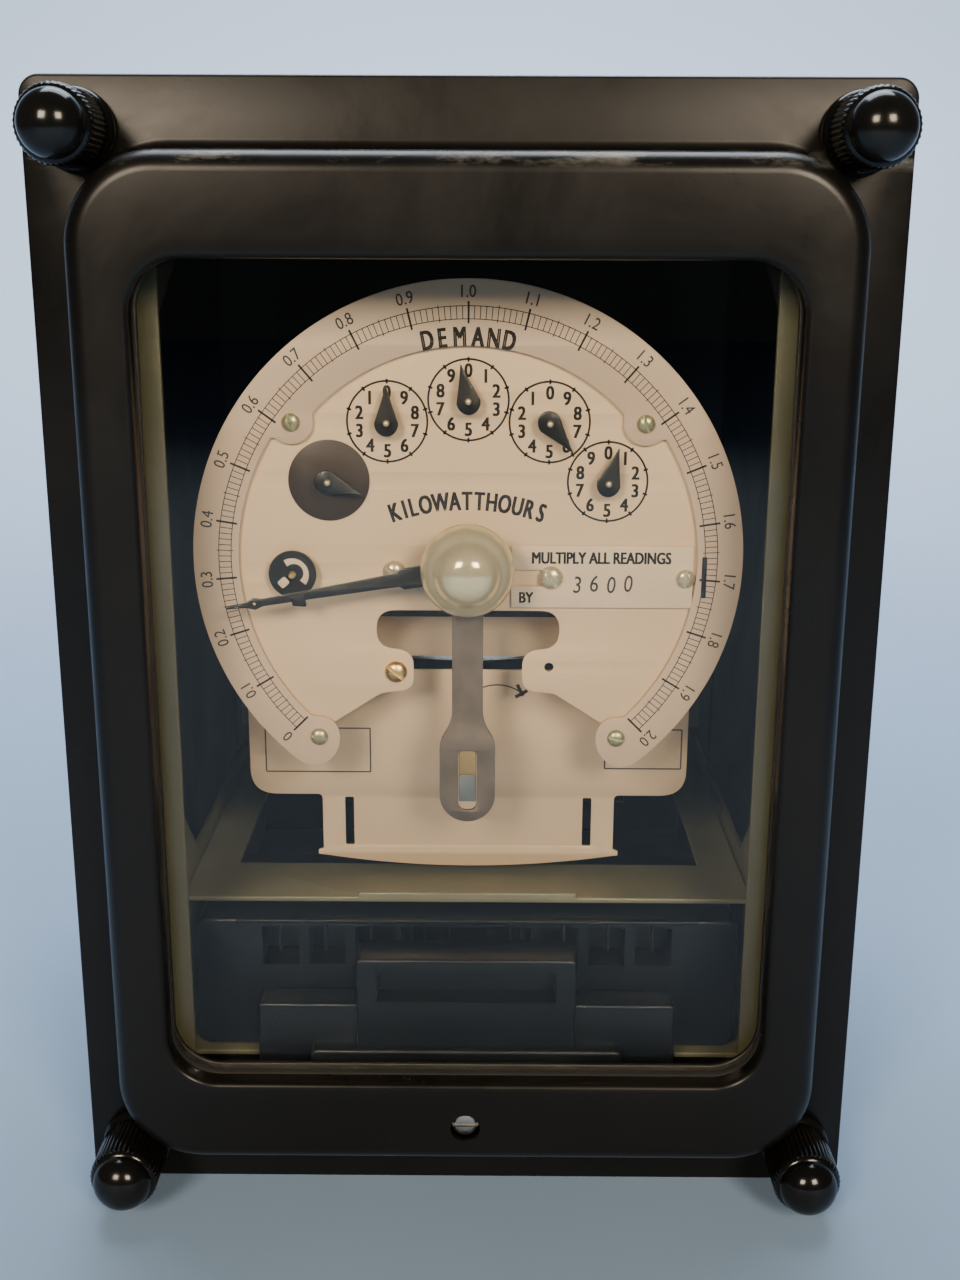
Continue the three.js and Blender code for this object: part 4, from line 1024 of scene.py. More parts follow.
@dataclass
class Cover:
    """The removable cover: flange, raised bezel, rolled window edge, glass, gaskets and lock screw."""

    flange: tuple[float, float, float] = (168.3, 235.0, 4.0)
    flange_thickness: float = 2.4
    bezel: tuple[float, float, float] = (149.0, 208.0, 18.0)
    bezel_front: float = -15.5
    shoulder: float = 4.5
    window: tuple[float, float, float] = (124.6, 168.8, 10.0)
    lip_back: float = -11.3
    sheet: float = 1.6
    lock_radius: float = 3.15
    stud_hole: float = 3.2

    @staticmethod
    def inset(outline: tuple[float, float, float], by: float, depth: float) -> list[float]:
        """Gives one ring of a stack: an outline drawn in by a distance, at a depth."""
        width, height, radius = outline
        return [width - 2 * by, height - 2 * by, max(radius - by, 0.05), depth]

    def shell_rings(self) -> list[list[float]]:
        """Gives the shell's section as rings: over the flange, the bezel and the lip, and back inside.

        Returns:
            Width, height, corner radius and depth of each ring.
        """
        flange, bezel, window = self.flange, self.bezel, self.window
        front, shoulder = self.bezel_front, self.shoulder
        rings = [self.inset(flange, 0, self.flange_thickness), self.inset(flange, 0, 0.6),
                 self.inset(flange, 0.2, 0.18), self.inset(flange, 0.6, 0),
                 self.inset(bezel, -2.2, 0), self.inset(bezel, -1.1, -0.25), self.inset(bezel, -0.35, -0.9),
                 self.inset(bezel, 0, -2.0), self.inset(bezel, 0.35, front + shoulder)]
        rings += [self.inset(bezel, shoulder - reach, front + shoulder - rise)
                  for reach, rise in quarter(shoulder - 0.35, shoulder, 8)[1:]]
        roll = quarter(1.5, 1.5, 6)
        rings.append(self.inset(window, -4.0, front))
        rings += [self.inset(window, -(1.5 - rise), front + 1.5 - reach) for reach, rise in roll]
        rings += [self.inset(window, 0, self.lip_back - 0.3), self.inset(window, -0.3, self.lip_back),
                  self.inset(window, -self.sheet, self.lip_back),
                  self.inset(window, -self.sheet, front + self.sheet)]
        inside = self.inset(bezel, self.sheet, 0)[:3]
        rings += [self.inset(inside, shoulder - self.sheet - reach, front + shoulder - rise)
                  for reach, rise in quarter(shoulder - self.sheet, shoulder - self.sheet, 5)[::-1]]
        rings.append(self.inset(inside, 0, self.flange_thickness))
        return rings

    def build(self) -> None:
        """Builds the shell and its fittings."""
        shell = make_object("cover_body", skin(stacked(self.shell_rings(), (0, MIDDLE), 14), ring=True))
        lock = DATUM.box("lock_screw").mean(0)
        holes = [rod(self.lock_radius, self.bezel_front - 2, self.bezel_front + self.sheet + 2, (0, lock[2]))]
        for place in ThumbNuts.places:
            centre = DATUM.box(f"thumb_nut_{place}").mean(0)
            holes.append(rod(self.stud_hole, -2, self.flange_thickness + 2, (centre[0], centre[2]), 24))
        bored(shell, holes)
        settle(shell, "cover", BLACK_PAINT, ["cover_shell"])
        keep("window_glass", ClearGlass())
        for node, finish, slot in (("window_gasket", RUBBER, "rubber"), ("glass_retainer", RETAINER_ZINC, "zinc"),
                                   ("cover_gasket", RUBBER, "rubber")):
            eased(node, finish, 0.25)
        self.lock(float(lock[0]), float(lock[2]))

    def lock(self, x: float, z: float) -> None:
        """Builds the quarter-turn screw with its tongue.

        Args:
            x: the screw's place across.
            z: its height.
        """
        low, high = DATUM.box("lock_screw")
        radius = self.lock_radius - 0.35
        head = turned([[0, high[1]], [1.6, high[1]], [1.6, low[1] + 3], [radius, low[1] + 3],
                       [radius, low[1] + 0.7], [radius - 0.25, low[1] + 0.25], [radius - 0.7, low[1]], [0, low[1]]],
                      (x, z), 40)
        screw = make_object("lock_screw_turned", head)
        bored(screw, [brick((x - 4, low[1] - 1, z - 0.4), (x + 4, low[1] + 0.9, z + 0.4))])
        settle(screw, "lock_screw", STEEL, ["lock_screw"])
        tongue = soft_block((x - 7, high[1] - 3, z - 2.2), (x + 7, high[1] - 1.2, z + 2.2), 1.0, 0.3)
        piece("lock_tongue", tongue, "lock_screw", STEEL)


@dataclass(frozen=True)
class Thread:
    """A screw thread: its crest radius, groove depth, end radius, pitch and columns round."""

    crest: float
    groove: float
    end: float
    pitch: float
    columns: int

    def cut(self, centre: tuple[float, float], depth: np.ndarray) -> Parts:
        """Gives a rod whose radius follows a triangle wave that climbs one pitch in a turn.

        Args:
            centre: the rod's place across and its height.
            depth: the depth of each row.

        Returns:
            The vertices and faces.
        """
        angle = np.linspace(0, 2 * np.pi, self.columns, endpoint=False)
        phase = (depth[:, None] / self.pitch + angle[None, :] / (2 * np.pi)) % 1
        reach = self.crest - self.groove * (1 - np.abs(2 * phase - 1))
        reach[[0, -1]] = self.end
        return skin(np.stack([centre[0] + reach * np.cos(angle), np.repeat(depth[:, None], self.columns, 1),
                              centre[1] + reach * np.sin(angle)], -1))


@dataclass
class ThumbNuts:
    """Four knurled, domed thumb nuts on threaded studs."""

    places = ("top_left", "top_right", "bottom_left", "bottom_right")
    ribs: int = 40
    points_per_rib: int = 6
    rib_depth: float = 0.36
    bore: float = 2.85
    collar: float = 7.7
    body: float = 7.2
    dome: float = 6.2
    thread_pitch: float = 1.0

    def profile(self, back: float, front: float) -> tuple[np.ndarray, slice]:
        """Gives the nut's section from the bottom of its bore round to the crown.

        Args:
            back: the depth of the nut's back face.
            front: the depth of its crown.

        Returns:
            Radius and depth pairs, and the rows of them that are knurled.
        """
        face = front + 5.0
        rows = [[0, back - 11.9], [self.bore, back - 11.9], [self.bore, back - 0.4], [self.bore + 0.4, back],
                [self.collar - 0.4, back], [self.collar, back - 0.4], [self.collar, back - 1.5],
                [self.collar - 0.15, back - 2.0], [self.body - 0.1, back - 2.5], [self.body - 0.55, back - 2.9],
                [self.body - 0.5, back - 3.2]]
        knurled = [[self.body - 0.3, back - 3.6], [self.body, back - 4.1], [self.body, back - 8],
                   [self.body, back - 12], [self.body, face + 1.1], [self.body - 0.3, face + 0.6]]
        crown = quarter(self.dome, 5.0, 12)
        top = [[self.body - 0.7, face + 0.15], [self.dome, face]]
        top += [[reach, face - rise] for reach, rise in crown[1:]]
        return np.array(rows + knurled + top), slice(len(rows) + 1, len(rows) + len(knurled) - 1)

    def ripple(self, angle: np.ndarray) -> np.ndarray:
        """Gives the ribs: minus rib_depth times a rounded wave with ribs periods in a turn."""
        wave = np.abs(np.sin(angle * self.ribs / 2)) ** 0.7
        return -self.rib_depth * (1 - wave)

    def stud(self, node: str) -> Parts:
        """Gives a stud.

        Args:
            node: the CAD node that it stands for.

        Returns:
            The vertices and faces.
        """
        low, high = DATUM.box(node)
        centre = (low + high) / 2
        radius = (high[0] - low[0]) / 2
        depth = np.arange(low[1], high[1], self.thread_pitch / 6)
        return Thread(radius, 0.5, radius - 0.5, self.thread_pitch, 24).cut((centre[0], centre[2]), depth)

    def build(self) -> None:
        """Builds each nut and its stud."""
        for place in self.places:
            node = f"thumb_nut_{place}"
            low, high = DATUM.box(node)
            profile, knurl = self.profile(high[1], low[1])
            columns = self.ribs * self.points_per_rib
            nut = turned(profile, ((low[0] + high[0]) / 2, (low[2] + high[2]) / 2), columns, self.ripple, knurl)
            settle(make_object(f"{node}_knurled", nut, 50), node, KNOB_MOULDING, [node])
            stud = f"cover_stud_{place}"
            settle(make_object(f"{stud}_threaded", self.stud(stud), 60), "case", STEEL, [stud])


@dataclass
class Case:
    """The sheet-metal case behind the panel, with the terminal block on its back."""

    mouth: tuple[float, float, float] = (144.2, 203.2, 15.6)
    wall: float = 1.6
    corner: float = 5.0
    flange_back: float = 7.2
    slot_half: tuple[float, float] = (48.0, 15.0)
    thread: Thread = Thread(2.95, 0.45, 2.3, 1.1, 16)

    def shell(self) -> None:
        """Builds the flange and the drawn box as one skin, then cuts the cable slot and stud holes."""
        low, high = DATUM.box("case_shell")
        body_width, body_top = 152.0, 226.5
        middle = body_top / 2
        flange = (high[0] - low[0], high[2] - low[2], 4.0)
        rings = [Cover.inset(self.mouth, 0, low[1]), Cover.inset(flange, 0.3, low[1]),
                 Cover.inset(flange, 0, low[1] + 0.3), Cover.inset(flange, 0, self.flange_back)]
        front = stacked(rings, (0, MIDDLE), 8)
        body = (body_width, body_top, self.corner)
        inner = (body_width - 2 * self.wall, body_top - 2 * self.wall, self.corner - self.wall)
        outside = [Cover.inset(body, 0, self.flange_back + 0.02)]
        outside += [Cover.inset(body, 2.5 - reach, high[1] - 2.5 + rise) for reach, rise in quarter(2.5, 2.5, 5)]
        sides = stacked(outside, (0, middle), 8)
        back_in = [Cover.inset(inner, 1.5 - reach, high[1] - self.wall - 1.5 + rise)
                   for reach, rise in quarter(1.5, 1.5, 3)[::-1]]
        inside = stacked([*back_in, Cover.inset(inner, 0, self.flange_back)], (0, middle), 8)
        mouth = stacked([Cover.inset(self.mouth, 0, self.flange_back)], (0, MIDDLE), 8)
        columns = front.shape[1]
        points = np.concatenate([front, sides, inside, mouth])
        rows = len(points)
        split = len(front) + len(sides)
        faces = grid_faces(split, columns)
        faces += [[i + split * columns for i in face] for face in grid_faces(rows - split, columns)]
        faces.append(list(range((split - 1) * columns, split * columns)))
        faces.append(list(range(split * columns, (split + 1) * columns)))
        last, first = (rows - 1) * columns, 0
        faces += [[last + i, last + (i + 1) % columns, first + (i + 1) % columns, first + i]
                  for i in range(columns)]
        shell = make_object("case_body", (points.reshape(-1, 3), faces))
        terminal = DATUM.box("rear_terminal_block")
        height = float(terminal[:, 2].mean())
        cuts = [brick((-self.slot_half[0], high[1] - 4, height - self.slot_half[1]),
                      (self.slot_half[0], high[1] + 2, height + self.slot_half[1]))]
        for place in ThumbNuts.places:
            centre = DATUM.box(f"cover_stud_{place}").mean(0)
            cuts.append(rod(2.85, low[1] - 1, self.flange_back + 1, (centre[0], centre[2]), 24))
        bored(shell, cuts)
        settle(shell, "case", CASE_PAINT, ["case_shell"])

    def terminals(self) -> None:
        """Builds the rear block with barriers between its studs, and a nut and washer on each stud."""
        low, high = DATUM.box("rear_terminal_block")
        block_back = low[1] + 9.0
        middle = (low[2] + high[2]) / 2
        block = soft_block((low[0], low[1], low[2]), (high[0], block_back, high[2]), 4, 1.0)
        pitch, row = 21.0, 13.0
        ridges = [soft_block((x - 1.2, block_back - 1, low[2] + 3), (x + 1.2, block_back + 5, high[2] - 3),
                             0.8, 0.7)
                  for x in (np.arange(4) - 1.5) * pitch]
        rail = soft_block((low[0] + 4, block_back - 1, middle - 1.2), (high[0] - 4, block_back + 4, middle + 1.2),
                          0.8, 0.7)
        piece("rear_terminals_moulded", together([block]), "case", MOULDING,
              ["rear_terminal_block"])
        piece("terminal_barriers", together([*ridges, rail]), "case", MOULDING)
        studs, nuts = [], []
        for x in (np.arange(5) - 2) * pitch:
            for z in (middle - row, middle + row):
                studs.append(self.thread.cut((x, z), np.arange(block_back - 0.5, high[1], 0.2)))
                nuts.append(turned([[3.3, block_back + 0.02], [6.4, block_back + 0.02], [6.4, block_back + 0.9],
                                    [3.3, block_back + 0.9]], (x, z), 28))
                nuts.append(self.hexagon(x, z, block_back + 1.0, block_back + 5.2))
        settle(make_object("terminal_studs", together(studs), 60), "case", BRASS)
        piece("terminal_nuts", together(nuts), "case", NICKEL)

    @staticmethod
    def hexagon(x: float, z: float, near: float, far: float) -> Parts:
        """Gives a six-sided nut whose corners are turned off at both faces.

        The radius at an angle is the flat's distance over the cosine of the angle from the nearest flat, and
        no more than the cap of its row.

        Args:
            x: the nut's place across.
            z: its height.
            near: the depth of its front face.
            far: the depth of its back face.

        Returns:
            The vertices and faces.
        """
        angle = np.linspace(0, 2 * np.pi, 48, endpoint=False)
        flat = 4.6 / np.cos((angle + np.pi / 6) % (np.pi / 3) - np.pi / 6)
        rows = [(near, 4.75), (near + 0.5, 9.0), (far - 0.5, 9.0), (far, 4.75)]
        grid = np.stack([np.stack([x + np.minimum(flat, cap) * np.cos(angle), np.full(48, depth),
                                   z + np.minimum(flat, cap) * np.sin(angle)], -1) for depth, cap in rows])
        return skin(grid)

    def build(self) -> None:
        """Builds the case and its fittings."""
        self.shell()
        self.terminals()
        eased("case_contact_block", MOULDING, 0.8)


@dataclass
class Cradle:
    """The drawout cradle: rails, shelf, latch, contact block and connection plug."""

    compartment_pitch: float = 10.4

    def contact_block(self) -> None:
        """Builds the contact block: a moulded body with ribs hanging from its top edge."""
        low, high = DATUM.box("cradle_contact_block")
        body = soft_block((low[0], low[1] + 0.6, low[2]), tuple(high), 2.5, 0.8)
        made = make_object("contact_block_moulded", body)
        cuts = [brick((k * self.compartment_pitch - 4, low[1] - 1, high[2] - 11),
                      (k * self.compartment_pitch + 4, low[1] + 9, high[2] - 2)) for k in range(-4, 5)]
        bored(made, cuts)
        settle(made, "case", MOULDING, ["cradle_contact_block"])
        edge = soft_block((-51.5, low[1] - 0.02, high[2] - 0.9), (51.5, low[1] + 2, high[2]), 0.3, 0.25)
        ribs = [soft_block((x - 0.35, low[1], high[2] - 7.5), (x + 0.35, low[1] + 1.2, high[2] - 0.6), 0.1, 0.1)
                for x in (-41.5, -31.5, -21.5, -12.3, -9.6, 9.6, 12.3, 21.5, 31.5, 41.5)]
        piece("contact_block_ribs", together([edge, *ribs]), "case", MOULDING)

    def plug(self) -> None:
        """Builds the plug: three stepped steps with softened edges and a finger grip."""
        low, high = DATUM.box("connection_plug")
        wide = soft_block((low[0], 1.5, 21), (high[0], high[1], 43), 1.2, 0.6)
        face = soft_block((-34, low[1], low[2]), (34, high[1] - 0.2, 34), 1.5, 0.7)
        grip = soft_block((-24, low[1] + 1.5, 33.2), (24, high[1] - 0.1, high[2]), 1.2, 0.6)
        for name, parts, cut in (("plug_body", wide, None), ("plug_face", face, None),
                                 ("plug_grip", grip, brick((-19.5, low[1] - 1, 45), (19.5, low[1] + 7, 52)))):
            made = make_object(name, parts)
            if cut is not None:
                bored(made, [cut])
            settle(made, "case", MOULDING, ["connection_plug"] if name == "plug_body" else ())

    def build(self) -> None:
        """Builds the cradle's pieces."""
        self.contact_block()
        self.plug()
        # The side plates, foot, top bar and latch bracket take the darker rail paint, painted shade; the shelf
        # keeps the lighter copy.
        for node in ("cradle_side_left", "cradle_side_right", "cradle_foot", "cradle_top_bar",
                     "latch_bracket"):
            eased(node, SHADED_RAIL_PAINT, 0.25)
        eased("cradle_latch", STEEL, 0.3)
        eased("cradle_shelf", SHELF_PAINT, 0.3)


# ---------------------------------------------------------------- plates, scale and register


@dataclass
class Printer:
    """Sets generic lettering and numbers as thin closed films on a plate."""

    cache: dict = field(default_factory=dict)

    def glyph(self, text: str, size: float, bold: float, narrow: float) -> Parts:
        """Gives a word or figure centred on the origin of its plate.

        Args:
            text: what is set.
            size: the letters' size in millimetres.
            bold: how far each stroke is grown.
            narrow: the letters' width against their height.

        Returns:
            The vertices and faces.
        """
        key = (text, size, bold, narrow)
        if key not in self.cache:
            curve = bpy.data.curves.new("letter", "FONT")
            curve.body = text
            curve.size = size
            curve.align_x = "CENTER"
            curve.align_y = "CENTER"
            curve.resolution_u = 3
            curve.extrude = PRINT
            points, faces = flat_curve(curve)
            points[:, 0] *= narrow
            if bold:
                points, faces = self.emboldened(points, faces, bold)
            middle = (points[:, [0, 2]].min(0) + points[:, [0, 2]].max(0)) / 2
            points[:, [0, 2]] -= middle
            self.cache[key] = (points, faces)
        return self.cache[key]

    @staticmethod
    def emboldened(points: np.ndarray, faces: list, bold: float) -> Parts:
        """Thickens lettering by striking it four times, a little apart.

        Args:
            points: the letters' vertices.
            faces: their faces.
            bold: how far each strike is moved across; it moves half as far in height.

        Returns:
            The four strikes together, each a hair behind the one before.
        """
        strikes = [(across * bold, 0.003 * step, along * bold / 2)
                   for step, (across, along) in enumerate([(-1, -1), (-1, 1), (1, -1), (1, 1)])]
        return together([(points + strike, faces) for strike in strikes])

    def at(self, text: str, x: float, z: float, front: float, size: float, bold: float = 0.0,
           narrow: float = 1.0, turn: float = 0.0) -> Parts:
        """Gives lettering at a place on a plate.

        Args:
            text: what is set.
            x: its centre across.
            z: its centre's height.
            front: the depth of the plate.
            size: the letters' size.
            bold: how far each stroke is grown.
            narrow: the letters' width against their height.
            turn: how far it is turned clockwise, in degrees.

        Returns:
            The vertices and faces.
        """
        points, faces = self.glyph(text, size, bold, narrow)
        placed = points.copy()
        placed[:, [0, 2]] = turn_flat(points[:, [0, 2]], turn) + [x, z]
        placed[:, 1] += front
        return placed, faces

    def arched(self, text: str, radius: float, step: float, centre: float, front: float, size: float,
               bold: float, narrow: float) -> list[Parts]:
        """Sets a word's letters one by one round an arc, upright along its radius.

        Args:
            text: the word.
            radius: the arc's radius.
            step: degrees from one letter to the next.
            centre: the height of the arc's centre.
            front: the depth of the plate.
            size: the letters' size.
            bold: how far each stroke is grown.
            narrow: the letters' width against their height.

        Returns:
            The letters' vertices and faces.
        """
        slim = {"I": 0.62, "W": 1.34, "M": 1.28, "L": 0.86, "E": 0.9, "O": 1.12}
        widths = np.array([slim.get(letter, 1.0) for letter in text])
        starts = np.cumsum(widths) - widths / 2
        bearings = (starts - widths.sum() / 2) * step
        places = polar(radius, bearings, centre)
        return [self.at(letter, x, z, front, size, bold, narrow, turn)
                for letter, (x, z), turn in zip(text, places, bearings)]


PRINTER = Printer()


@dataclass
class Screws:
    """Slotted pan-head screws that hold the plates."""

    rise: float = 1.1

    def build(self, name: str, rows: Sequence[Sequence[float]], finish: Finish, slot: str) -> None:
        """Builds a set of screws as one piece.

        Args:
            name: the piece's name.
            rows: x, z, head radius, plate depth and slot bearing of each.
            finish: their finish.
            slot: the record's material slot; not used.
        """
        heads, cuts = [], []
        for x, z, radius, front, bearing in rows:
            crown = quarter(radius, self.rise * radius / 2, 6)
            profile = [[0.8, front + 0.2], [radius - 0.05, front + 0.02], [radius, front - 0.25]]
            profile += [[reach, front - 0.3 - rise] for reach, rise in crown[1:]]
            heads.append(turned(profile, (x, z), 32))
            reach = radius * 0.93
            box, faces = brick((-reach, front - 3, -0.17 * radius),
                               (reach, front - 0.3 - 0.22 * radius, 0.17 * radius))
            box[:, [0, 2]] = turn_flat(box[:, [0, 2]], bearing) + [x, z]
            cuts.append((box, faces))
        made = bored(make_object(name, together(heads)), cuts)
        settle(made, "case", finish)


@dataclass
class Plates:
    """The demand scale, dial plate, multiplier card and lower plate, with all that is printed on them."""

    ring_outer: float = 58.0
    ring_inner: float = 48.4
    crown_inner: float = 44.6
    crown_half: float = 49.0
    end_reach: float = 5.2
    lobe: float = 4.6
    upper_lobe: tuple[float, float] = (36.6, 169.0)
    lower_lobe: tuple[float, float] = (32.3, 100.8)
    tick_outer: float = 52.6
    tick_inner: float = 50.0
    full_sweep: float = 270.0
    label_radius: float = 55.5
    dial_arc: float = 33.6
    dial_radius: float = 8.5
    indicator: tuple[float, float] = (-37.0, 137.2)

    def __post_init__(self) -> None:
        """Takes the plates' depths from the frame."""
        self.scale_front = float(DATUM.box("scale_plate")[0, 1])
        self.dial_front = float(DATUM.box("dial_plate")[0, 1])
        self.card_front = float(DATUM.box("multiplier_card")[0, 1])
        self.name_front = float(DATUM.box("nameplate")[0, 1])

    def scale_outline(self) -> Mesh2D:
        """Gives the scale plate's outline: round the rim clockwise and back along the inner edge.

        The inner edge is the least of the ring's radius, the crown's, and each lobe's near side, where a
        lobe's near side at a bearing off its centre is c cos - sqrt(r^2 - c^2 sin^2).

        Returns:
            An array of x, z pairs.
        """
        end = math.degrees(math.atan2(self.lower_lobe[0], self.lower_lobe[1] - PIVOT))
        bearings = np.linspace(-end, end, 1121)
        inner = np.full(bearings.shape, self.ring_inner)
        crown = self.ring_inner + (self.crown_inner - self.ring_inner) * np.clip(
            (self.crown_half + 1.5 - np.abs(bearings)) / 3, 0, 1)
        inner = np.minimum(inner, crown)
        for x, z in (self.upper_lobe, self.lower_lobe):
            reach = math.hypot(x, z - PIVOT)
            centre = math.degrees(math.atan2(x, z - PIVOT))
            for sign in (-1, 1):
                off = np.radians(bearings - sign * centre)
                root = np.where(np.cos(off) > 0, self.lobe**2 - (reach * np.sin(off)) ** 2, -1.0)
                near = reach * np.cos(off) - np.sqrt(np.maximum(root, 0))
                inner = np.where(root > 0, np.minimum(inner, near), inner)
        middle, half = (self.ring_outer + inner[0]) / 2, (self.ring_outer - inner[0]) / 2
        cap = np.radians(np.linspace(90, -90, 31))[1:-1]
        along = middle + half * np.sin(cap)
        beyond = self.end_reach * np.cos(cap)
        right = polar(along, end + np.degrees(beyond / middle), PIVOT)
        left = polar(along[::-1], -end - np.degrees(beyond[::-1] / middle), PIVOT)
        rim = polar(self.ring_outer, bearings, PIVOT)
        loop = np.concatenate([rim, right, polar(inner[::-1], bearings[::-1], PIVOT), left])[::-1]
        return evened(loop, 0.4, 7)

    def scale(self) -> None:
        """Builds the scale plate, its ladder of marks, its figures and its heading."""
        # The scale plate takes the darker copy of the plate white, painted shade.
        piece("scale_plate_stamped", plate([self.scale_outline()], self.scale_front, 0.8, 0.12), "case",
              SHADED_SCALE_WHITE, ["scale_plate"])
        front = self.scale_front
        steps = np.arange(201)
        bearing = -self.full_sweep / 2 + steps * self.full_sweep / 200
        major, half = steps % 10 == 0, steps % 5 == 0
        outer = np.where(major, self.tick_outer + 0.9, np.where(half, self.tick_outer + 0.45, self.tick_outer))
        inner = np.where(major, self.tick_inner - 0.9, np.where(half, self.tick_inner - 0.45, self.tick_inner))
        thin = bars(polar(inner[~major], bearing[~major], PIVOT), polar(outer[~major], bearing[~major], PIVOT),
                    0.16, front)
        bold = bars(polar(inner[major], bearing[major], PIVOT), polar(outer[major], bearing[major], PIVOT),
                    0.42, front)
        arc = np.linspace(-self.full_sweep / 2, self.full_sweep / 2, 271)
        arcs = [bars(polar(r, arc[:-1], PIVOT), polar(r, arc[1:], PIVOT), 0.17, front)
                for r in (self.tick_outer, self.tick_inner)]
        figures = []
        for k in range(21):
            turn = -self.full_sweep / 2 + k * self.full_sweep / 20
            x, z = polar(self.label_radius, turn, PIVOT)
            text = "0" if k == 0 else f"{k / 10:.1f}"
            figures.append(PRINTER.at(text, x, z, front, 3.5, 0.02, 0.86, turn))
        heading = PRINTER.arched("DEMAND", 46.5, 4.0, PIVOT, front, 5.5, 0.19, 0.64)
        piece("scale_print", together([thin, bold, *arcs, *heading]), "case", INK)
        piece("scale_figures", together(figures), "case", GREY_INK)
        bar = plate([filleted([(49.4, 132.2), (50.4, 132.2), (50.4, 141.1), (49.4, 141.1)], 0.3)],
                    front - 0.25, 0.5, 0.05)
        piece("card_stop", bar, "case", POINTER_BLACK)

    def dial_outline(self) -> Mesh2D:
        """Gives the dial plate's outline: a circle broken at the bottom by the opening's sides.

        Returns:
            An array of x, z pairs.
        """
        opening = [(29.3, 103.6), (18.8, 110.4), (11.7, 111.2), (11.7, 120.0), (19.6, 120.7), (19.6, 128.9)]
        radii = [3.0, 3.4, 3.2, 3.8, 4.0, 4.05]
        start = math.degrees(math.atan2(36.5, 97.2 - PIVOT))
        rim = polar(56.0, np.linspace(-start, start, 240), PIVOT)
        corners = [tuple(rim[-1]), *opening, *[(-x, z) for x, z in reversed(opening)], tuple(rim[0])]
        inner = filleted(corners, [0.01, *radii, *radii[::-1], 0.01], 8)
        return evened(np.concatenate([rim[1:-1], inner]), 0.4, 3)

    def dial_plate(self) -> None:
        """Builds the dial plate with its five dials, its word and the blank disc."""
        holes = [circle(3.0, (0, PIVOT), 32), circle(2.0, self.indicator, 24), circle(1.0, (17.5, 116.4), 20)]
        holes += [circle(1.6, tuple(place), 20) for place in self.dial_places()]
        piece("dial_plate_stamped", plate([self.dial_outline(), *holes], self.dial_front, 0.8, 0.12), "case",
              PLATE_WHITE, ["dial_plate"])
        front = self.dial_front
        ink: list[Parts] = []
        for k, (x, z) in enumerate(self.dial_places()):
            if k == 0:
                continue
            ink.append(band(circle(self.dial_radius + 0.02, (x, z), 72), circle(self.dial_radius - 0.4, (x, z), 72),
                            front))
            bearings = np.arange(10) * 36.0
            centre = np.array([x, z])
            ink.append(bars(polar(self.dial_radius - 0.75, bearings) + centre,
                            polar(self.dial_radius + 0.28, bearings) + centre, 0.42, front))
            sense = -1 if k % 2 else 1
            for figure in range(10):
                fx, fz = polar(6.05, sense * figure * 36.0) + centre
                ink.append(PRINTER.at(str(figure), fx, fz, front, 3.9, 0.13, 0.86))
        ink += PRINTER.arched("KILOWATTHOURS", 49.0, 3.03, 103.6, front, 5.5, 0.17, 0.62)
        piece("dial_print", together(ink), "case", INK)
        x, z = self.dial_places()[0]
        disc = turned([[1.7, front - 0.02], [8.5, front - 0.02], [8.5, front - 0.22], [8.35, front - 0.3],
                       [1.7, front - 0.3]], (x, z), 96)
        hollow = bored(make_object("blank_disc", disc), [rod(1.65, front - 2, front + 2, (x, z))])
        settle(hollow, "case", DARK_DISC)

    def dial_places(self) -> np.ndarray:
        """Gives the five dial centres, 30 degrees apart on an arc about the pivot."""
        return polar(self.dial_arc, (np.arange(5) - 2) * 30.0, PIVOT)

    def card(self) -> None:
        """Builds the notched multiplier card and what is set on it."""
        low, high = DATUM.box("multiplier_card")
        right = high[0] - 0.5
        notch = [(low[0], low[2]), (right, low[2]), (right, high[2]), (low[0], high[2]),
                 (low[0], 138.1), (17.2, 138.1), (17.2, 134.5), (low[0], 134.5)]
        piece("multiplier_card_cut", plate([np.array(notch)], low[1], 0.5, 0.06), "case", CARD_WHITE,
              ["multiplier_card"])
        front = low[1]
        words = [PRINTER.at("MULTIPLY ALL READINGS", 28.2, 140.7, front, 3.5, 0.12, 0.74),
                 PRINTER.at("BY", 12.4, 132.1, front, 3.3, 0.1, 0.8)]
        piece("card_print", together(words), "case", INK)
        written = [PRINTER.at(figure, 23.2 + 3.6 * k, 134.9 + 0.3 * (k % 2), front, 5.2, -0.02, 0.78, 6)
                   for k, figure in enumerate("3600")]
        piece("card_figures", together(written), "case", GREY_INK)

    def nameplate(self) -> None:
        """Builds the lower plate: rounded shoulders, a neck with ears and a bowed lower edge."""
        front = self.name_front
        bow = np.linspace(-33.6, 33.6, 25)
        lower = np.stack([bow, 64.4 + 2.6 * (bow / 33.6) ** 2], -1)
        outline = np.concatenate([
            filleted([(50, 129), (-50, 129), (-50, 82), (-33.6, 82), (-33.6, 69.2)],
                     [1, 1, 6, 1.2, 0.2], 8)[:-9],
            [(-33.6, 68.6), (-34.8, 68.2), (-34.8, 67.1)], lower,
            [(34.8, 67.1), (34.8, 68.2), (33.6, 68.6)],
            filleted([(33.6, 69.2), (33.6, 82), (50, 82), (50, 129), (0, 129)], [0.2, 1.2, 6, 1, 1], 8)[9:-9]])
        slot_z = float(DATUM.box("rotor_disk")[:, 2].mean())
        holes = [filleted([(-26, slot_z - 1.6), (26, slot_z - 1.6), (26, slot_z + 1.6), (-26, slot_z + 1.6)], 0.3)]
        for side in (-27.4, 27.4):
            holes.append(filleted([(side - 1, 69.5), (side + 1, 69.5), (side + 1, 81.3), (side - 1, 81.3)], 0.3))
        piece("nameplate_stamped", plate([outline, *holes], front, 0.8, 0.12), "case", NAMEPLATE,
              ["nameplate"])
        ink = [bars(np.array([(-31.0, 126.6)]), np.array([(31.0, 126.6)]), 4.6, front)]
        for x0, x1, z0 in ((-46.3, -22.4, 87.5), (31.2, 48.6, 88.6)):
            corners = np.array([(x0, 98.0), (x0, z0), (x1, z0), (x1, 98.0)])
            ink.append(bars(corners, np.roll(corners, -1, 0), 0.32, front))
        turn = np.linspace(-38, 38, 13)
        arrow = polar(9.0, turn) + [6.5, 99.5]
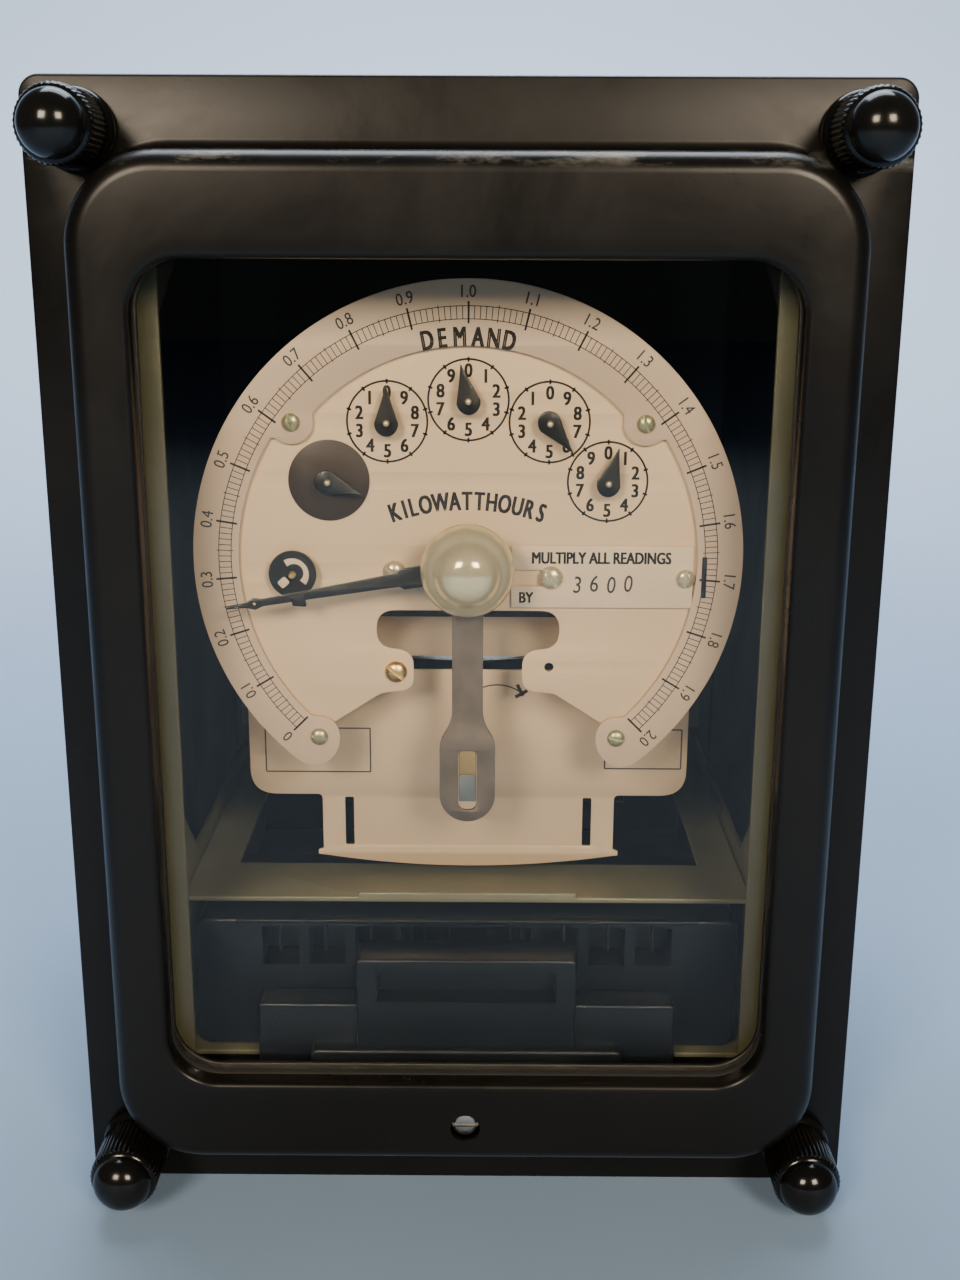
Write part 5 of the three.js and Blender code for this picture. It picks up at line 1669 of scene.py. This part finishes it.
        head = np.array([[(11.0, 108.6), (12.3, 105.9)], [(13.3, 107.2), (10.6, 105.6)]])
        ink.append(bars(arrow[:-1], arrow[1:], 0.3, front))
        ink.append(bars(head[:, 0], head[:, 1], 0.8, front))
        piece("nameplate_print", together(ink), "case", GREY_INK)

    def fixings(self) -> None:
        """Builds the screws and pins that show on the plates."""
        scale, dial, card = self.scale_front, self.dial_front, self.card_front
        rows = [(sign * x, z, 1.9, scale, turn) for (x, z), turn in ((self.upper_lobe, 70), (self.lower_lobe, 15))
                for sign in (-1, 1)]
        Screws().build("scale_screws", rows, SCREW_BRASS, "brass")
        Screws().build("plate_screws", [(-15.7, 137.4, 2.4, dial, 35), (17.6, 136.5, 2.5, card, 60),
                                        (46.0, 136.4, 2.0, card, 100)], NICKEL, "nickel")
        Screws().build("link_screw", [(-15.5, 115.3, 2.4, dial, 40)], BRASS, "brass")
        pin = turned([[0.75, dial + 0.2], [0.75, dial - 0.5], [0.5, dial - 0.8], [0, dial - 0.85]],
                     (34.3, 166.0), 20)
        piece("dial_pin", pin, "case", BRASS)

    def build(self) -> None:
        """Builds every plate."""
        self.scale()
        self.dial_plate()
        self.card()
        self.nameplate()
        self.fixings()


@dataclass
class Pointers:
    """Dial pointers, demand pointer, reset arm, pivot dome and interval indicator."""

    names: tuple[str, ...] = ("ten_thousands", "thousands", "hundreds", "tens", "units")
    bearings: tuple[float, ...] = (110.0, 0.0, -12.0, 141.0, 15.0)
    demand_bearing: float = -100.0
    bulb: float = 2.4
    tip: float = 7.6

    def teardrop(self) -> Mesh2D:
        """Gives a pointer outline: an arc round the hub drawn out to a fine tip.

        The half width at a share t of the way to the tip is bulb times (1 - t) to the power 1.12, and a
        little over.

        Returns:
            An array of x, z pairs about the hub, with the tip straight up.
        """
        t = np.linspace(0, 1, 14)
        height = self.tip * t
        half = self.bulb * (1 - t) ** 1.12 + 0.1
        arc = np.radians(np.linspace(180, 360, 17))[1:-1]
        round_end = np.stack([(self.bulb + 0.1) * np.cos(arc), 1.1 * (self.bulb + 0.1) * np.sin(arc)], -1)
        right = np.stack([half, height], -1)
        left = np.stack([-half[::-1], height[::-1]], -1)
        return np.concatenate([round_end, right, left])

    def dials(self) -> None:
        """Builds the five dial pointers with their bright pins."""
        for name, bearing, (x, z) in zip(self.names, self.bearings, Plates().dial_places()):
            node = f"{name}_pointer"
            low, high = DATUM.box(node)
            outline = turn_flat(self.teardrop(), bearing) + [x, z]
            blade = plate([outline], low[1] + 0.5, 0.9, 0.3)
            hub = turned([[1.3, high[1]], [1.4, high[1] - 0.3], [1.4, low[1] + 0.9], [1.1, low[1] + 0.45],
                          [0.78, low[1] + 0.4], [0.78, high[1]]], (x, z), 24)
            body = f"{name}_dial"
            piece(f"{node}_blade", blade, body, POINTER_BLACK, [node])
            piece(f"{node}_hub", hub, body, POINTER_BLACK)
            pin = turned([[0.66, high[1] + 0.5], [0.66, low[1] + 0.25], [0.5, low[1] + 0.02],
                          [0.25, low[1] - 0.1], [0, low[1] - 0.12]], (x, z), 20)
            piece(f"{node}_pin", pin, body, NICKEL)

    def demand(self) -> None:
        """Builds the demand pointer: hub block, tapered blade, flag, eye and needle."""
        front = DATUM.box("demand_pointer")[0, 1] + 1.2
        half = [(4.6, 3.0), (2.3, 8.0), (2.2, 13.6), (1.45, 14.6), (0.95, 33.0), (0.75, 43.2), (1.25, 45.0),
                (0.6, 46.6), (0.36, 48.4), (0.2, 51.0)]
        right = np.array(half)
        left = right[::-1] * [-1, 1]
        low_arc = np.radians(np.linspace(150, 390, 25))
        hub = 4.8 * np.stack([np.cos(low_arc), np.sin(low_arc)], -1)
        outline = np.concatenate([hub, right, left])
        loops = [outline, circle(2.3, steps=32), circle(0.34, (0, 45.0), 12)]
        placed = [turn_flat(loop, self.demand_bearing) + [0, PIVOT] for loop in loops]
        piece("demand_pointer_blade", plate(placed, front, 0.8, 0.12), "demand_pointer",
              POINTER_BLACK, ["demand_pointer"])
        flag = filleted([(-2.4, 34.4), (0.2, 34.4), (0.2, 37.2), (-1.7, 37.2)], 0.3)
        placed = turn_flat(flag, self.demand_bearing) + [0, PIVOT]
        piece("demand_pointer_flag", plate([placed], front - 0.05, 1.5, 0.12), "demand_pointer",
              POINTER_BLACK)
        collar = turned([[2.4, front - 1.1], [3.4, front - 1.1], [3.6, front - 0.9], [3.6, front + 1.5],
                         [2.4, front + 1.5]], (0, PIVOT), 40)
        made = bored(make_object("demand_pointer_collar", collar), [rod(2.35, front - 4, front + 4, (0, PIVOT))])
        settle(made, "demand_pointer", POINTER_BLACK)

    def reset(self) -> None:
        """Builds the slotted reset arm and the tongue that shows in its slot."""
        low = DATUM.box("reset_arm")[0]
        end = np.radians(np.linspace(0, -180, 25))
        bottom = np.stack([6.0 * np.cos(end), -51.0 + 6.0 * np.sin(end)], -1)
        right = np.concatenate([[(3.3, -6.0)], filleted([(3.3, -6.0), (3.3, -34.2), (6.0, -38.6), (6.0, -51.0)],
                                                        [0.1, 9.0, 7.0, 0.1], 8)[9:-9]])
        left = right[::-1] * [-1, 1]
        top = np.radians(np.linspace(222, -42, 31))
        head = 5.2 * np.stack([np.cos(top), np.sin(top)], -1)
        outline = np.concatenate([head, right, bottom, left])[::-1]
        slot_low, slot_high = -54.4, -40.8
        slot = filleted([(-2.0, slot_low), (2.0, slot_low), (2.0, slot_high), (-2.0, slot_high)],
                        [1.9, 1.9, 1.2, 1.2], 8)
        loops = [loop + [0, PIVOT] for loop in (outline, circle(2.3, steps=32), slot)]
        piece("reset_arm_blade", plate(loops, low[1], 1.2, 0.15), "reset_arm", ZINC,
              ["reset_arm"])
        bend = slot_high - 5.6
        for name, top, foot, finish, slot_name in (("upper", slot_high + 0.3, bend, TONGUE_BRASS, "brass"),
                                                   ("lower", bend, bend - 6.1, TONGUE_STEEL, "steel")):
            block = soft_block((-1.85, low[1] + 0.45, PIVOT + foot), (1.85, low[1] + 1.4, PIVOT + top), 0.3, 0.2)
            piece(f"reset_tongue_{name}", block, "reset_arm", finish)

    def dome(self) -> None:
        """Builds the pivot dome: a raised crown on a wide flared rim, with its shaft behind."""
        low, high = DATUM.box("pivot_dome")
        crown = [(9.7, 8.6), (9.7, 7.9), (9.62, 7.3), (9.35, 6.4), (8.9, 5.6), (8.2, 4.8), (7.5, 4.25), (7.0, 3.9),
                 (6.6, 3.45), (6.25, 2.9), (5.75, 2.2), (5.0, 1.45), (4.0, 0.8), (2.8, 0.35), (1.4, 0.08), (0, 0)]
        profile = [[0, high[1]], [1.7, high[1]], [2.0, high[1] - 0.3], [2.0, low[1] + 8.6]]
        profile += [[radius, low[1] + depth] for radius, depth in crown]
        piece("pivot_dome_spun", turned(profile, (0, PIVOT), 96), "case", DOME_NICKEL,
              ["pivot_dome"])

    def indicator(self) -> None:
        """Builds the interval indicator: a black disc with a light crescent and a bright pin."""
        low, high = DATUM.box("interval_indicator")
        x, z = Plates().indicator
        front = low[1] + 1.0
        disc = turned([[0, high[1]], [1.2, high[1]], [1.2, front + 1.2], [4.9, front + 1.2], [5.0, front + 1.05],
                       [5.0, front + 0.15], [4.85, front], [0, front]], (x, z), 72)
        piece("interval_disc", disc, "interval_indicator", POINTER_BLACK,
              ["interval_indicator"])
        arc = np.linspace(-30, 128, 24)
        outer = polar(3.5, arc)
        inner = polar(2.0 + 0.5 * np.sin(np.radians((arc + 30) / 158 * 180)), arc)[::-1]
        crescent = plate([np.concatenate([outer, inner])[::-1] + [x, z]], front - 0.06, 0.1, 0.02)
        window = plate([turn_flat(filleted([(-0.9, -3.6), (0.9, -3.6), (0.9, -1.5), (-0.9, -1.5)], 0.5), 48)
                        + [x, z]], front - 0.06, 0.1, 0.02)
        piece("interval_marks", together([crescent, window]), "interval_indicator", CARD_WHITE)
        pin = turned([[0.8, front + 0.3], [0.8, front - 0.6], [0.55, front - 0.95], [0, front - 1.0]], (x, z), 24)
        piece("interval_pin", pin, "interval_indicator", BRASS)

    def build(self) -> None:
        """Builds every pointer."""
        self.dials()
        self.demand()
        self.reset()
        self.dome()
        self.indicator()


@dataclass
class Works:
    """The meter behind the plates: chassis, rotor, coils, magnet, gears and timing motor."""

    def rotor(self) -> None:
        """Builds the disk: a turned plate with a hub, bored for its spindle."""
        low, high = DATUM.box("rotor_disk")
        hub_low, hub_high = low[2], high[2]
        centre = (low + high) / 2
        radius = (high[0] - low[0]) / 2
        under, over = centre[2] - 0.6, centre[2] + 0.6
        profile = [[1.9, hub_low], [4.7, hub_low], [5.0, hub_low + 0.3], [5.0, under], [radius - 0.1, under],
                   [radius, under + 0.1], [radius, over - 0.1], [radius - 0.1, over], [5.0, over],
                   [5.0, hub_high - 0.3], [4.7, hub_high], [1.9, hub_high]]
        angle = np.linspace(0, 2 * np.pi, 144, endpoint=False)
        table = np.array(profile)
        grid = np.stack([centre[0] + table[:, :1] * np.cos(angle), centre[1] + table[:, :1] * np.sin(angle),
                         np.repeat(table[:, 1:], 144, 1)], -1)
        piece("rotor_disk_turned", skin(grid, ring=True), "rotor", DISK_ALUMINIUM, ["rotor_disk"])
        keep("rotor_spindle", STEEL)

    def build(self) -> None:
        """Dresses the works."""
        self.rotor()
        # The meter frame takes the case's near-black paint, partly as a painted casting and partly as painted shade
        # for the dark space behind the plates.
        eased("meter_frame", CASE_PAINT, 0.5)
        eased("drag_magnet", MAGNET, 0.9, 3)
        for side in ("left", "right"):
            eased(f"stator_core_{side}", LAMINATION, 0.2)
            eased(f"voltage_coil_{side}", WINDING, 0.6, 3)
            eased(f"current_coil_{side}", WINDING, 0.6, 3)
        eased("timing_motor", STEEL, 0.5)
        for node in ("lower_bearing", "upper_bearing", "register_frame"):
            eased(node, BRASS, 0.2)
        keep("worm_wheel_arbor", BRASS)
        for name in Pointers().names:
            keep(f"{name}_arbor", BRASS)


# ---------------------------------------------------------------- studio


@dataclass
class Studio:
    """Pale floor and backdrop, soft lights and the camera."""

    lens: float = 41.55
    place: tuple[float, float, float] = (0.0037729, -0.366949, 0.2052268)
    right: tuple[float, float, float] = (0.9999782, 0.00500373, 0.00430891)
    up: tuple[float, float, float] = (-0.00546475, 0.26078317, 0.96538193)
    back: tuple[float, float, float] = (0.00370682, -0.96538443, 0.26080482)
    floor_colour: tuple[float, float, float] = (0.24, 0.36, 0.54)

    def camera(self) -> None:
        """Sets the camera looking slightly down at the front."""
        data = bpy.data.cameras.new("camera")
        data.sensor_width = 36
        data.lens = self.lens
        data.clip_start = 0.01
        made = bpy.data.objects.new("camera", data)
        bpy.context.scene.collection.objects.link(made)
        basis = Matrix((self.right, self.up, self.back)).transposed().to_4x4()
        basis.translation = Vector(self.place)
        made.matrix_world = basis
        bpy.context.scene.camera = made

    def floor(self) -> None:
        """Builds one sheet: a level floor that turns up into a backdrop on a large radius."""
        turn = np.linspace(0, np.pi / 2, 24)
        back, radius = 0.75, 0.5
        path = [(-3.0, 0.0), (back, 0.0)]
        path += [(back + radius * math.sin(t), radius - radius * math.cos(t)) for t in turn[1:]]
        path.append((back + radius, 3.0))
        line = np.array(path)
        across = np.array([-3.0, 3.0])
        grid = np.stack([np.repeat(across[None, :], len(line), 0), np.repeat(line[:, :1], 2, 1),
                         np.repeat(line[:, 1:], 2, 1)], -1)
        mesh = bpy.data.meshes.new("backdrop")
        mesh.from_pydata(grid.reshape(-1, 3).tolist(), [], grid_faces(len(line), 2, wrap_columns=False))
        made = link("backdrop", mesh, 60)
        # The backdrop is darker near the floor and painted lighter towards the far wall's top: painted light.
        dress(made, GradedPaper("backdrop_paper", self.floor_colour, tuple(0.94 * c for c in self.floor_colour),
                                (0.6, 0.75), clouds=5, grain=60, bump=0.02))

    @staticmethod
    def light(name: str, place: Sequence[float], size: float, power: float, colour: Sequence[float],
              aim: Sequence[float] = (0, 0, 0.12)) -> None:
        """Adds a soft square light aimed at a point.

        Args:
            name: the light's name.
            place: where it stands.
            size: its side in metres.
            power: its power in watts.
            colour: its colour.
            aim: the point that it faces.
        """
        data = bpy.data.lights.new(name, "AREA")
        data.size = size
        data.energy = power
        data.color = colour
        made = bpy.data.objects.new(name, data)
        bpy.context.scene.collection.objects.link(made)
        made.location = place
        made.rotation_mode = "QUATERNION"
        made.rotation_quaternion = (Vector(aim) - Vector(place)).to_track_quat("-Z", "Y")

    def build(self) -> None:
        """Sets up the whole studio."""
        self.camera()
        self.floor()
        self.light("lamp_left", (-0.42, -1.05, 0.6), 0.3, 11.0, (1.0, 0.83, 0.62))
        self.light("lamp_right", (0.42, -1.05, 0.6), 0.3, 11.0, (1.0, 0.83, 0.62))
        self.light("ceiling", (0.0, 0.75, 1.6), 1.2, 40, (0.86, 0.93, 1.0), (0.0, 1.0, 0.1))
        world = bpy.data.worlds.new("studio")
        world.use_nodes = True
        world.node_tree.nodes["Background"].inputs["Color"].default_value = (0.85, 0.92, 1.0, 1)
        world.node_tree.nodes["Background"].inputs["Strength"].default_value = 0.08
        bpy.context.scene.world = world


def main() -> None:
    """Builds the studio and every sub-assembly."""
    logging.basicConfig(level=logging.INFO, format="%(name)s: %(message)s")
    for part in (Studio(), Cover(), ThumbNuts(), Case(), Cradle(), Plates(), Pointers(), Works()):
        log.info("building %s", type(part).__name__)
        part.build()


if __name__ == "__main__":
    main()
